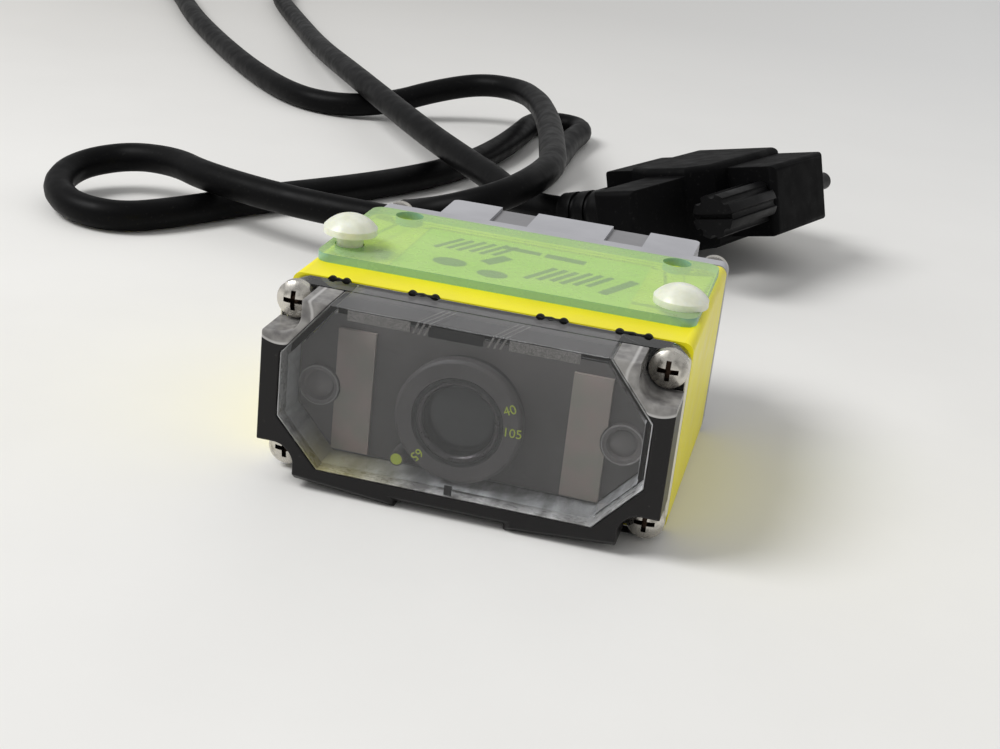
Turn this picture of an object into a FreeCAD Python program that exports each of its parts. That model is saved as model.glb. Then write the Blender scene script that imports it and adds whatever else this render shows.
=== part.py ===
import FreeCAD, Part
import math
import os
import Sketcher

# Compact fixed-mount code reader: die-cast housing, clear front cover in a dark frame, focus dial,
# rear cover with cable, insulating plate on top and a 15-way plug. Lengths are in mm. X is across,
# Y runs from the window (minus) to the cable (plus), Z is up and the floor is at zero.

DOCUMENT = FreeCAD.newDocument("CodeReader")
SHEET = DOCUMENT.addObject("Spreadsheet::Sheet", "Dimensions")
FULL_TURN = 360.0
UP = FreeCAD.Vector(0, 0, 1)
LEAST_CUT = 0.001
NODES = []


class Size:
    """A length together with the sheet formula that gives it."""

    def __init__(self, worth, formula):
        self.worth = float(worth)
        self.formula = formula

    def __add__(self, other):
        other = as_size(other)
        return Size(self.worth + other.worth, f"({self.formula} + {other.formula})")

    def __radd__(self, other):
        return as_size(other) + self

    def __sub__(self, other):
        other = as_size(other)
        return Size(self.worth - other.worth, f"({self.formula} - {other.formula})")

    def __rsub__(self, other):
        return as_size(other) - self

    def __mul__(self, factor):
        return Size(self.worth * factor, f"({self.formula} * {factor})")

    def __rmul__(self, factor):
        return self * factor

    def __truediv__(self, divisor):
        return Size(self.worth / divisor, f"({self.formula} / {divisor})")

    def __neg__(self):
        return Size(-self.worth, f"(-1 * {self.formula})")


def as_size(number):
    if isinstance(number, Size):
        return number
    return Size(number, f"({float(number)})")


def dimension(alias, worth):
    """Write one named length into the sheet."""
    row = len(ALIASES) + 1
    ALIASES.append(alias)
    SHEET.set(f"A{row}", alias)
    SHEET.set(f"B{row}", str(worth))
    SHEET.setAlias(f"B{row}", alias)
    return Size(worth, f"Dimensions.{alias}")


ALIASES = []

# housing
housing_width = dimension("housing_width", 42.0)
housing_height = dimension("housing_height", 20.5)
housing_depth = dimension("housing_depth", 27.5)
housing_edge_radius = dimension("housing_edge_radius", 1.0)
cavity_side_wall = dimension("cavity_side_wall", 7.5)
cavity_floor = dimension("cavity_floor", 2.0)
cavity_roof = dimension("cavity_roof", 2.0)
front_recess_depth = dimension("front_recess_depth", 4.5)

# front cover, frame and seal
nose_depth = dimension("nose_depth", 5.0)
flange_thickness = dimension("flange_thickness", 2.6)
flange_corner_radius = dimension("flange_corner_radius", 2.0)
flange_foot = dimension("flange_foot", 0.3)
gasket_thickness = dimension("gasket_thickness", 0.4)
gasket_inset = dimension("gasket_inset", 0.2)
gasket_tab_radius = dimension("gasket_tab_radius", 0.5)
gasket_tab_rise = dimension("gasket_tab_rise", 0.3)
window_top_inset = dimension("window_top_inset", 6.8)
window_bottom_inset = dimension("window_bottom_inset", 6.6)
window_side_inset = dimension("window_side_inset", 2.0)
window_corner_drop = dimension("window_corner_drop", 5.9)
window_side_bottom = dimension("window_side_bottom", 7.7)
window_bottom = dimension("window_bottom", 2.5)
cover_wall = dimension("cover_wall", 0.8)
cover_clearance = dimension("cover_clearance", 0.05)
frame_lip_rise = dimension("frame_lip_rise", 0.9)
frame_lobe_left = dimension("frame_lobe_left", 6.0)
frame_lobe_right = dimension("frame_lobe_right", 5.5)
frame_relief = dimension("frame_relief", 0.7)
frame_chamfer = dimension("frame_chamfer", 0.6)

# screws of the covers
screw_side_inset = dimension("screw_side_inset", 1.8)
screw_low = dimension("screw_low", 2.5)
screw_top_inset = dimension("screw_top_inset", 1.6)
screw_head_radius = dimension("screw_head_radius", 1.95)
screw_head_height = dimension("screw_head_height", 1.6)
screw_head_edge = dimension("screw_head_edge", 0.9)
screw_shank_radius = dimension("screw_shank_radius", 1.0)
screw_shank_length = dimension("screw_shank_length", 8.0)
screw_hole_clearance = dimension("screw_hole_clearance", 0.05)
screw_tip_room = dimension("screw_tip_room", 0.6)
screw_pocket_clearance = dimension("screw_pocket_clearance", 0.25)
screw_cross_width = dimension("screw_cross_width", 0.5)
screw_cross_length = dimension("screw_cross_length", 2.1)
screw_cross_depth = dimension("screw_cross_depth", 0.8)
rear_head_radius = dimension("rear_head_radius", 1.7)
rear_head_height = dimension("rear_head_height", 1.2)

# optics
lens_axis_x = dimension("lens_axis_x", -0.5)
lens_axis_drop = dimension("lens_axis_drop", 0.15)
dial_setback = dimension("dial_setback", 1.8)
dial_thickness = dimension("dial_thickness", 1.4)
dial_rim_width = dimension("dial_rim_width", 1.9)
dial_clearance = dimension("dial_clearance", 0.05)
dial_bevel = dimension("dial_bevel", 0.3)
dial_shoulder_gap = dimension("dial_shoulder_gap", 0.1)
barrel_tip_step = dimension("barrel_tip_step", 1.2)
barrel_tip_wall = dimension("barrel_tip_wall", 0.4)
lens_ledge = dimension("lens_ledge", 0.7)
lens_setback = dimension("lens_setback", 0.7)
lens_thickness = dimension("lens_thickness", 1.6)
lens_edge_thickness = dimension("lens_edge_thickness", 0.7)
lens_clearance = dimension("lens_clearance", 0.03)
baffle_setback = dimension("baffle_setback", 4.4)
baffle_thickness = dimension("baffle_thickness", 1.0)
baffle_wall = dimension("baffle_wall", 0.4)
baffle_clearance = dimension("baffle_clearance", 0.1)
baffle_barrel_clearance = dimension("baffle_barrel_clearance", 0.4)
led_side_inset = dimension("led_side_inset", 5.1)
led_axis_rise = dimension("led_axis_rise", 0.1)
led_rim_radius = dimension("led_rim_radius", 2.2)
led_dome_radius = dimension("led_dome_radius", 1.65)
led_rim_height = dimension("led_rim_height", 0.5)
strip_side_inset = dimension("strip_side_inset", 6.8)
strip_width = dimension("strip_width", 4.0)
strip_bottom = dimension("strip_bottom", 3.6)
strip_top_inset = dimension("strip_top_inset", 3.6)
strip_thickness = dimension("strip_thickness", 0.4)

# boards
board_thickness = dimension("board_thickness", 1.0)
board_clearance = dimension("board_clearance", 0.1)
sensor_board_setback = dimension("sensor_board_setback", 11.0)
board_gap = dimension("board_gap", 5.0)
header_width = dimension("header_width", 12.0)
header_height = dimension("header_height", 3.0)
led_chip_side = dimension("led_chip_side", 2.0)
led_chip_height = dimension("led_chip_height", 0.8)
sensor_chip_width = dimension("sensor_chip_width", 4.8)
sensor_chip_height = dimension("sensor_chip_height", 3.6)
processor_side = dimension("processor_side", 8.0)
chip_thickness = dimension("chip_thickness", 0.9)

# rear cover and cable outlet
rear_cover_thickness = dimension("rear_cover_thickness", 2.6)
rear_edge_radius = dimension("rear_edge_radius", 0.8)
boss_depth = dimension("boss_depth", 6.9)
boss_side_inset = dimension("boss_side_inset", 5.6)
boss_centre_x = dimension("boss_centre_x", 1.2)
boss_bottom = dimension("boss_bottom", 2.0)
boss_top_step = dimension("boss_top_step", 0.3)
boss_wall = dimension("boss_wall", 1.6)
boss_edge_radius = dimension("boss_edge_radius", 0.8)
boss_slot_width = dimension("boss_slot_width", 4.6)
boss_slot_depth = dimension("boss_slot_depth", 0.4)
boss_slot_offset = dimension("boss_slot_offset", 7.0)
gland_length = dimension("gland_length", 4.6)
gland_base_radius = dimension("gland_base_radius", 4.4)
gland_tip_radius = dimension("gland_tip_radius", 3.1)
gland_axis_z = dimension("gland_axis_z", 8.0)
gland_groove_depth = dimension("gland_groove_depth", 0.4)
gland_groove_width = dimension("gland_groove_width", 0.7)
outlet_clearance = dimension("outlet_clearance", 0.1)

# mounting holes, insulating plate, plastic screws and label
mount_hole_radius = dimension("mount_hole_radius", 1.5)
mount_hole_depth = dimension("mount_hole_depth", 4.5)
front_hole_inset = dimension("front_hole_inset", 2.9)
front_hole_setback = dimension("front_hole_setback", 9.0)
rear_hole_inset = dimension("rear_hole_inset", 5.3)
rear_hole_setback = dimension("rear_hole_setback", 23.0)
plate_side_margin = dimension("plate_side_margin", 0.6)
plate_front_setback = dimension("plate_front_setback", 4.4)
plate_depth = dimension("plate_depth", 20.4)
plate_thickness = dimension("plate_thickness", 0.95)
plate_corner_radius = dimension("plate_corner_radius", 1.5)
plate_hole_clearance = dimension("plate_hole_clearance", 0.1)
nylon_head_radius = dimension("nylon_head_radius", 2.9)
nylon_head_height = dimension("nylon_head_height", 2.1)
nylon_head_edge = dimension("nylon_head_edge", 0.7)
nylon_thread_radius = dimension("nylon_thread_radius", 1.45)
nylon_length = dimension("nylon_length", 4.9)
nylon_lift_left = dimension("nylon_lift_left", 1.3)
label_side_margin = dimension("label_side_margin", 8.0)
label_depth = dimension("label_depth", 16.0)
label_setback = dimension("label_setback", 6.8)
label_thickness = dimension("label_thickness", 0.15)

# cable and plug
cable_diameter = dimension("cable_diameter", 4.6)
plug_yaw = dimension("plug_yaw", -22.5)
plug_tilt = dimension("plug_tilt", 15.0)
plug_x = dimension("plug_x", -0.8)
plug_y = dimension("plug_y", 53.2)
plug_height = dimension("plug_height", 13.0)
plug_ear_inset = dimension("plug_ear_inset", 1.1)
plug_block_width = dimension("plug_block_width", 31.0)
plug_block_length = dimension("plug_block_length", 17.0)
plug_block_start = dimension("plug_block_start", 28.0)
plug_body_width = dimension("plug_body_width", 15.0)
plug_body_start = dimension("plug_body_start", 20.0)
plug_shoulder = dimension("plug_shoulder", 4.0)
plug_neck_start = dimension("plug_neck_start", 5.0)
plug_neck_left = dimension("plug_neck_left", 2.5)
plug_neck_right = dimension("plug_neck_right", 4.5)
plug_neck_inset = dimension("plug_neck_inset", 1.3)
plug_edge_radius = dimension("plug_edge_radius", 1.0)
relief_length = dimension("relief_length", 8.0)
relief_base_radius = dimension("relief_base_radius", 3.4)
relief_tip_radius = dimension("relief_tip_radius", 2.9)
relief_groove_depth = dimension("relief_groove_depth", 0.4)
relief_groove_width = dimension("relief_groove_width", 0.7)
relief_turn = dimension("relief_turn", 90.0)
relief_place_y = dimension("relief_place_y", 9.5)
relief_place_z = dimension("relief_place_z", 8.2)
knob_half_spacing = dimension("knob_half_spacing", 12.5)
knob_radius = dimension("knob_radius", 3.3)
knob_length = dimension("knob_length", 14.0)
knob_gap = dimension("knob_gap", 0.4)
knob_flute_radius = dimension("knob_flute_radius", 0.6)
knob_stem_radius = dimension("knob_stem_radius", 1.4)
knob_stem_overhang = dimension("knob_stem_overhang", 4.5)
knob_slot_width = dimension("knob_slot_width", 0.8)
knob_slot_depth = dimension("knob_slot_depth", 1.0)
knob_clearance = dimension("knob_clearance", 0.06)
shell_plate_thickness = dimension("shell_plate_thickness", 0.8)
shell_half_top = dimension("shell_half_top", 8.5)
shell_half_bottom = dimension("shell_half_bottom", 7.0)
shell_height = dimension("shell_height", 8.4)
shell_wall = dimension("shell_wall", 0.5)
shell_length = dimension("shell_length", 6.0)
shell_corner_radius = dimension("shell_corner_radius", 1.6)
insert_length = dimension("insert_length", 1.2)
pin_radius = dimension("pin_radius", 0.4)
pin_length = dimension("pin_length", 4.2)
pin_pitch = dimension("pin_pitch", 2.29)
pin_row_pitch = dimension("pin_row_pitch", 1.98)

DOCUMENT.recompute()

FLUTE_COUNT = 8
FLUTE_ANGLES = [2 * math.pi * number / FLUTE_COUNT for number in range(FLUTE_COUNT)]

# height of the plug's frame, with the rounded lower edge of its left ear on the floor
LEAN = math.radians(plug_tilt.worth)
lean_reach = plug_block_width / 2 - plug_edge_radius
lean_rise = plug_ear_inset + plug_edge_radius
plug_lift = Size(
    lean_reach.worth * math.sin(LEAN) - lean_rise.worth * math.cos(LEAN) + plug_edge_radius.worth,
    f"({lean_reach.formula} * sin({plug_tilt.formula} * 1 deg)"
    f" - {lean_rise.formula} * cos({plug_tilt.formula} * 1 deg) + {plug_edge_radius.formula})",
)

# places along Y, from the window to the cable
overall_depth = (
    nose_depth + flange_thickness + gasket_thickness + housing_depth
    + gasket_thickness + rear_cover_thickness + boss_depth + gland_length
)
front_face = -overall_depth / 2
flange_front = front_face + nose_depth
gasket_front = flange_front + flange_thickness
housing_front = gasket_front + gasket_thickness
housing_rear = housing_front + housing_depth
rear_cover_front = housing_rear + gasket_thickness
rear_cover_rear = rear_cover_front + rear_cover_thickness
boss_rear = rear_cover_rear + boss_depth
recess_floor = housing_front + front_recess_depth

# widths and heights that follow the housing
half_width = housing_width / 2
cavity_half_width = half_width - cavity_side_wall
window_half_top = half_width - window_top_inset
window_half_bottom = half_width - window_bottom_inset
window_half_side = half_width - window_side_inset
window_side_top = housing_height - window_corner_drop
screw_half_spacing = half_width - screw_side_inset
screw_high = housing_height - screw_top_inset
front_hole_half_spacing = half_width - front_hole_inset
rear_hole_half_spacing = half_width - rear_hole_inset
boss_half_width = half_width - boss_side_inset
label_half_width = half_width - label_side_margin
lens_axis_z = housing_height / 2 - lens_axis_drop
led_axis_z = housing_height / 2 + led_axis_rise
baffle_inset = cover_wall + baffle_clearance
barrel_room = lens_axis_z - window_bottom - baffle_inset - baffle_wall
barrel_radius = barrel_room - baffle_barrel_clearance
barrel_tip_radius = barrel_radius - barrel_tip_step
barrel_mouth_radius = barrel_tip_radius - barrel_tip_wall
barrel_bore_radius = barrel_mouth_radius - lens_ledge
dial_outer_radius = barrel_tip_radius + dial_rim_width
led_half_spacing = half_width - led_side_inset
strip_outer = half_width - strip_side_inset
strip_inner = strip_outer - strip_width
strip_top = housing_height - strip_top_inset


def add_body(label):
    """A new named body that becomes one node."""
    body = DOCUMENT.addObject("PartDesign::Body", label)
    body.Label = label
    NODES.append(body)
    return body


def place(body, x, y, z):
    """Put a body's own frame at a point, bound to the sheet."""
    x, y, z = as_size(x), as_size(y), as_size(z)
    body.Placement = FreeCAD.Placement(FreeCAD.Vector(x.worth, y.worth, z.worth), FreeCAD.Rotation())
    body.setExpression("Placement.Base.x", x.formula)
    body.setExpression("Placement.Base.y", y.formula)
    body.setExpression("Placement.Base.z", z.formula)


def place_on_plug(body, x=0, y=0, z=0, turn=0):
    """Put a body at a point of the plug's frame, turned about its upright axis, bound to the sheet."""
    x, y, z, turn = as_size(x), as_size(y), as_size(z), as_size(turn)
    inner = FreeCAD.Placement(FreeCAD.Vector(x.worth, y.worth, z.worth), FreeCAD.Rotation(UP, turn.worth))
    body.Placement = plug_frame() * inner
    upright = "create(<<vector>>; 0; 0; 1)"
    forward = "create(<<vector>>; 0; 1; 0)"
    spot = f"create(<<vector>>; {plug_x.formula}; {plug_y.formula}; {plug_lift.formula})"
    yaw = f"create(<<rotation>>; {upright}; {plug_yaw.formula})"
    tilt = f"create(<<rotation>>; {forward}; -({plug_tilt.formula}))"
    inner_spot = f"create(<<vector>>; {x.formula}; {y.formula}; {z.formula})"
    inner_turn = f"create(<<rotation>>; {upright}; {turn.formula})"
    zero = "create(<<vector>>; 0; 0; 0)"
    frame = f"create(<<placement>>; {spot}; {yaw}) * create(<<placement>>; {zero}; {tilt})"
    body.setExpression("Placement", f"{frame} * create(<<placement>>; {inner_spot}; {inner_turn})")


def add_sketch(body, role, position):
    """A sketch on one of the body's origin planes, moved to a position along X, Y or Z."""
    position = as_size(position)
    if role == "XZ_Plane":
        position = -position
    sketch = body.newObject("Sketcher::SketchObject", body.Name + "Sketch")
    plane = [feature for feature in body.Origin.OriginFeatures if feature.Role == role][0]
    sketch.AttachmentSupport = [(plane, "")]
    sketch.MapMode = "FlatFace"
    sketch.AttachmentOffset = FreeCAD.Placement(FreeCAD.Vector(0, 0, position.worth), FreeCAD.Rotation())
    sketch.setExpression("AttachmentOffset.Base.z", position.formula)
    return sketch


def fix_point(sketch, edge, end, x, y):
    """Tie one end of an edge to its named place."""
    index = sketch.addConstraint(Sketcher.Constraint("DistanceX", -1, 1, edge, end, x.worth))
    sketch.setExpression(f"Constraints[{index}]", x.formula)
    index = sketch.addConstraint(Sketcher.Constraint("DistanceY", -1, 1, edge, end, y.worth))
    sketch.setExpression(f"Constraints[{index}]", y.formula)


def draw_outline(sketch, corners):
    """Draw a closed outline. A corner is (x, y), or (x, y, radius, turn) where an arc ends there."""
    corners = [tuple(as_size(part) for part in corner[:3]) + tuple(corner[3:]) for corner in corners]
    count = len(corners)
    edges = []
    for number in range(count):
        start = corners[number - 1]
        finish = corners[number]
        begin = FreeCAD.Vector(start[0].worth, start[1].worth, 0)
        end = FreeCAD.Vector(finish[0].worth, finish[1].worth, 0)
        if len(finish) == 2:
            edges.append((sketch.addGeometry(Part.LineSegment(begin, end), False), 1, 2))
            continue
        radius, turn = finish[2].worth, finish[3]
        chord = end - begin
        rise = math.sqrt(max(radius ** 2 - (chord.Length / 2) ** 2, 0))
        side = FreeCAD.Vector(-chord.y, chord.x, 0).normalize() * turn
        centre = (begin + end) / 2 + side * rise
        first, last = (begin, end) if turn > 0 else (end, begin)
        first_angle = math.atan2(first.y - centre.y, first.x - centre.x)
        last_angle = math.atan2(last.y - centre.y, last.x - centre.x)
        if last_angle <= first_angle:
            last_angle += 2 * math.pi
        arc = Part.ArcOfCircle(Part.Circle(centre, UP, radius), first_angle, last_angle)
        ends = (1, 2) if turn > 0 else (2, 1)
        edges.append((sketch.addGeometry(arc, False),) + ends)
    for number in range(count):
        here, there = edges[number - 1], edges[number]
        sketch.addConstraint(Sketcher.Constraint("Coincident", here[0], here[2], there[0], there[1]))
        corner = corners[number - 1]
        fix_point(sketch, here[0], here[2], corner[0], corner[1])
    for number in range(count):
        if len(corners[number]) > 2:
            radius = corners[number][2]
            index = sketch.addConstraint(Sketcher.Constraint("Radius", edges[number][0], radius.worth))
            sketch.setExpression(f"Constraints[{index}]", radius.formula)


def draw_circle(sketch, x, y, radius):
    """Draw a circle tied to its named centre and radius."""
    x, y, radius = as_size(x), as_size(y), as_size(radius)
    circle = Part.Circle(FreeCAD.Vector(x.worth, y.worth, 0), UP, radius.worth)
    edge = sketch.addGeometry(circle, False)
    fix_point(sketch, edge, 3, x, y)
    index = sketch.addConstraint(Sketcher.Constraint("Radius", edge, radius.worth))
    sketch.setExpression(f"Constraints[{index}]", radius.formula)


def rectangle(left, bottom, right, top):
    return [(left, bottom), (right, bottom), (right, top), (left, top)]


def rounded_rectangle(left, bottom, right, top, radius):
    """Corners of a rectangle with round corners, anticlockwise."""
    return [
        (left + radius, bottom, radius, 1),
        (right - radius, bottom),
        (right, bottom + radius, radius, 1),
        (right, top - radius),
        (right - radius, top, radius, 1),
        (left + radius, top),
        (left, top - radius, radius, 1),
        (left, bottom + radius),
    ]


def extrude(body, sketch, role, length):
    """Add material from a sketch towards plus X, Y or Z."""
    length = as_size(length)
    pad = body.newObject("PartDesign::Pad", body.Name + "Pad")
    pad.Profile = sketch
    pad.Length = length.worth
    pad.setExpression("Length", length.formula)
    pad.Reversed = role == "XZ_Plane"
    DOCUMENT.recompute()
    return pad


def cut_away(body, sketch, role, length):
    """Take material away from a sketch towards plus X, Y or Z."""
    length = as_size(length)
    before = body.Shape.Volume
    pocket = body.newObject("PartDesign::Pocket", body.Name + "Pocket")
    pocket.Profile = sketch
    pocket.Length = length.worth
    pocket.setExpression("Length", length.formula)
    pocket.Reversed = role != "XZ_Plane"
    DOCUMENT.recompute()
    if before - pocket.Shape.Volume < LEAST_CUT:
        raise ValueError(f"a pocket in {body.Label} cuts nothing")
    return pocket


def add_block(body, role, outline, position, length):
    sketch = add_sketch(body, role, position)
    draw_outline(sketch, outline)
    return extrude(body, sketch, role, length)


def cut_block(body, role, outline, position, length):
    sketch = add_sketch(body, role, position)
    draw_outline(sketch, outline)
    return cut_away(body, sketch, role, length)


def cut_holes(body, role, centres, radius, position, length):
    sketch = add_sketch(body, role, position)
    for x, y in centres:
        draw_circle(sketch, x, y, radius)
    return cut_away(body, sketch, role, length)


def revolve(body, role, profile, axis):
    """Turn a profile about its sketch's own horizontal or vertical axis."""
    sketch = add_sketch(body, role, 0)
    draw_outline(sketch, profile)
    turned = body.newObject("PartDesign::Revolution", body.Name + "Turned")
    turned.Profile = sketch
    turned.ReferenceAxis = (sketch, [axis])
    turned.Angle = FULL_TURN
    DOCUMENT.recompute()
    return turned


def dress_edges(body, kind, length, wanted):
    """Round or bevel the edges of the latest shape that the test picks. Kind is Fillet or Chamfer."""
    base = body.Tip
    names = [f"Edge{n + 1}" for n, edge in enumerate(base.Shape.Edges) if wanted(edge)]
    if not names:
        raise ValueError(f"no edges to dress on {body.Label}")
    dressing = body.newObject(f"PartDesign::{kind}", body.Name + kind)
    dressing.Base = (base, names)
    measure = "Radius" if kind == "Fillet" else "Size"
    setattr(dressing, measure, length.worth)
    dressing.setExpression(measure, length.formula)
    DOCUMENT.recompute()
    return dressing


def runs_along(edge, axis):
    """True where a straight edge lies along the axis number 0, 1 or 2."""
    if edge.Curve.TypeId != "Part::GeomLine":
        return False
    step = edge.Vertexes[-1].Point - edge.Vertexes[0].Point
    return abs(abs(step[axis]) - step.Length) < LEAST_CUT


def lies_at(edge, axis, place_along):
    """True where the whole edge lies at one place along an axis."""
    box = edge.BoundBox
    low = (box.XMin, box.YMin, box.ZMin)[axis]
    high = (box.XMax, box.YMax, box.ZMax)[axis]
    return abs(low - place_along) < LEAST_CUT and abs(high - place_along) < LEAST_CUT


def dome_radius(half_width, rise):
    """Radius of a dome of that half width and rise."""
    return (half_width.worth ** 2 + rise.worth ** 2) / (2 * rise.worth)


def bisector_share(start, finish):
    """Tangent of half the turn between a level edge and a slanted one."""
    rise = abs(finish[1].worth - start[1].worth)
    reach = abs(finish[0].worth - start[0].worth)
    return math.tan(math.atan2(rise, reach) / 2), math.tan(math.atan2(reach, rise) / 2)


def window_outline(inset):
    """The eight-sided window, moved inwards on every side."""
    inset = as_size(inset)
    top_level, top_upright = bisector_share(
        (window_half_top, housing_height), (window_half_side, window_side_top)
    )
    low_level, low_upright = bisector_share(
        (window_half_bottom, window_bottom), (window_half_side, window_side_bottom)
    )
    bottom_x = window_half_bottom - inset * low_level
    top_x = window_half_top - inset * top_level
    side_x = window_half_side - inset
    bottom_z = window_bottom + inset
    top_z = housing_height - inset
    side_low = window_side_bottom + inset * low_upright
    side_high = window_side_top - inset * top_upright
    return [
        (-bottom_x, bottom_z),
        (bottom_x, bottom_z),
        (side_x, side_low),
        (side_x, side_high),
        (top_x, top_z),
        (-top_x, top_z),
        (-side_x, side_high),
        (-side_x, side_low),
    ]


def four_screw_centres():
    return [(x, z) for z in (screw_low, screw_high) for x in (-screw_half_spacing, screw_half_spacing)]


def build_housing():
    """Die-cast box: front recess, through cavity, blind screw holes and a label recess."""
    body = add_body("housing")
    outline = rounded_rectangle(-half_width, as_size(0), half_width, housing_height, housing_edge_radius)
    add_block(body, "XZ_Plane", outline, housing_front, housing_depth)
    cut_block(body, "XZ_Plane", window_outline(cover_wall), housing_front, front_recess_depth)
    cavity = rectangle(-cavity_half_width, cavity_floor, cavity_half_width, housing_height - cavity_roof)
    cut_block(body, "XZ_Plane", cavity, recess_floor, housing_depth - front_recess_depth)
    hole = screw_shank_radius + screw_hole_clearance
    front_hole_depth = screw_shank_length - flange_thickness - gasket_thickness + screw_tip_room
    cut_holes(body, "XZ_Plane", four_screw_centres(), hole, housing_front, front_hole_depth)
    rear_hole_depth = screw_shank_length - rear_cover_thickness - gasket_thickness + screw_tip_room
    cut_holes(body, "XZ_Plane", four_screw_centres(), hole, housing_rear - rear_hole_depth, rear_hole_depth)
    front_y = housing_front + front_hole_setback
    rear_y = housing_front + rear_hole_setback
    centres = [(-front_hole_half_spacing, front_y), (front_hole_half_spacing, front_y)]
    centres += [(-rear_hole_half_spacing, rear_y), (rear_hole_half_spacing, rear_y)]
    hole_bottom = housing_height - mount_hole_depth
    cut_holes(body, "XY_Plane", centres, mount_hole_radius, hole_bottom, mount_hole_depth)
    cut_block(body, "XY_Plane", label_outline(), housing_height - label_thickness, label_thickness)


def label_outline():
    front = housing_front + label_setback
    return rectangle(-label_half_width, front, label_half_width, front + label_depth)


def build_front_cover():
    """Clear moulding: an eight-sided cup that fills the window, on a flange with screw holes."""
    body = add_body("front_cover")
    add_block(body, "XZ_Plane", window_outline(cover_clearance), front_face, nose_depth)
    flange = rounded_rectangle(-half_width, flange_foot, half_width, housing_height, flange_corner_radius)
    add_block(body, "XZ_Plane", flange, flange_front, flange_thickness)
    depth = nose_depth + flange_thickness - cover_wall
    cut_block(body, "XZ_Plane", window_outline(cover_wall), front_face + cover_wall, depth)
    hole = screw_shank_radius + screw_hole_clearance
    cut_holes(body, "XZ_Plane", four_screw_centres(), hole, flange_front, flange_thickness)


def frame_outline():
    """U-shaped frame round the window, scooped out at the four screws."""
    scoop = screw_head_radius + screw_pocket_clearance
    side = screw_half_spacing
    inner = side - scoop
    level = as_size(0)
    window = window_outline(0)
    return [
        (-inner, frame_lip_rise),
        (-frame_lobe_left, level),
        (-frame_lobe_left, frame_relief),
        (frame_lobe_right, frame_relief),
        (frame_lobe_right, level),
        (inner, frame_lip_rise),
        (inner, screw_low),
        (side, screw_low + scoop, scoop, -1),
        (half_width, screw_low + scoop),
        (half_width, screw_high - scoop),
        (side, screw_high - scoop),
        (inner, screw_high, scoop, -1),
        (inner, housing_height),
        window[4],
        window[3],
        window[2],
        window[1],
        window[0],
        window[7],
        window[6],
        window[5],
        (-inner, housing_height),
        (-inner, screw_high),
        (-side, screw_high - scoop, scoop, -1),
        (-half_width, screw_high - scoop),
        (-half_width, screw_low + scoop),
        (-side, screw_low + scoop),
        (-inner, screw_low, scoop, -1),
    ]


def build_front_frame():
    body = add_body("front_frame")
    add_block(body, "XZ_Plane", frame_outline(), front_face, nose_depth)

    def on_lip(edge):
        return lies_at(edge, 1, front_face.worth) and edge.BoundBox.ZMax < frame_lip_rise.worth + LEAST_CUT

    dress_edges(body, "Chamfer", frame_chamfer, on_lip)


def build_front_gasket():
    """Thin seal behind the flange, with small pull tabs along its top edge."""
    body = add_body("front_gasket")
    sketch = add_sketch(body, "XZ_Plane", gasket_front)
    inset = gasket_inset
    edge = rounded_rectangle(
        -half_width + inset, flange_foot + inset, half_width - inset, housing_height - inset, flange_corner_radius
    )
    draw_outline(sketch, edge)
    draw_outline(sketch, window_outline(cover_wall))
    for x, z in four_screw_centres():
        draw_circle(sketch, x, z, screw_shank_radius + screw_hole_clearance)
    extrude(body, sketch, "XZ_Plane", gasket_thickness)
    tab_z = housing_height + gasket_tab_rise - gasket_tab_radius
    for centre in GASKET_TABS:
        sketch = add_sketch(body, "XZ_Plane", gasket_front)
        draw_circle(sketch, centre, tab_z, gasket_tab_radius)
        extrude(body, sketch, "XZ_Plane", gasket_thickness)


GASKET_TABS = [-16.6, -15.1, -8.0, -5.6, 5.4, 7.8, 13.5, 16.4]


def cross_outline():
    """Cross-shaped driver recess."""
    arm = screw_cross_length / 2
    half = screw_cross_width / 2
    return [
        (-half, -arm),
        (half, -arm),
        (half, -half),
        (arm, -half),
        (arm, half),
        (half, half),
        (half, arm),
        (-half, arm),
        (-half, half),
        (-arm, half),
        (-arm, -half),
        (-half, -half),
    ]


def build_cover_screw(label, x, z, seat, facing, head_radius, head_height):
    """Pan-head screw along Y. Facing is 1 where the head looks to the window, -1 to the cable."""
    body = add_body(label)
    place(body, x, seat, z)
    edge = screw_head_edge
    rise = head_height - edge
    profile = [
        (screw_shank_length * facing, as_size(0)),
        (screw_shank_length * facing, screw_shank_radius),
        (as_size(0), screw_shank_radius),
        (as_size(0), head_radius),
        (-edge * facing, head_radius),
        (-head_height * facing, as_size(0), as_size(dome_radius(head_radius, rise)), facing),
    ]
    revolve(body, "YZ_Plane", profile, "H_Axis")
    start = -head_height if facing > 0 else head_height - screw_cross_depth
    cut_block(body, "XZ_Plane", cross_outline(), start, screw_cross_depth)


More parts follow.
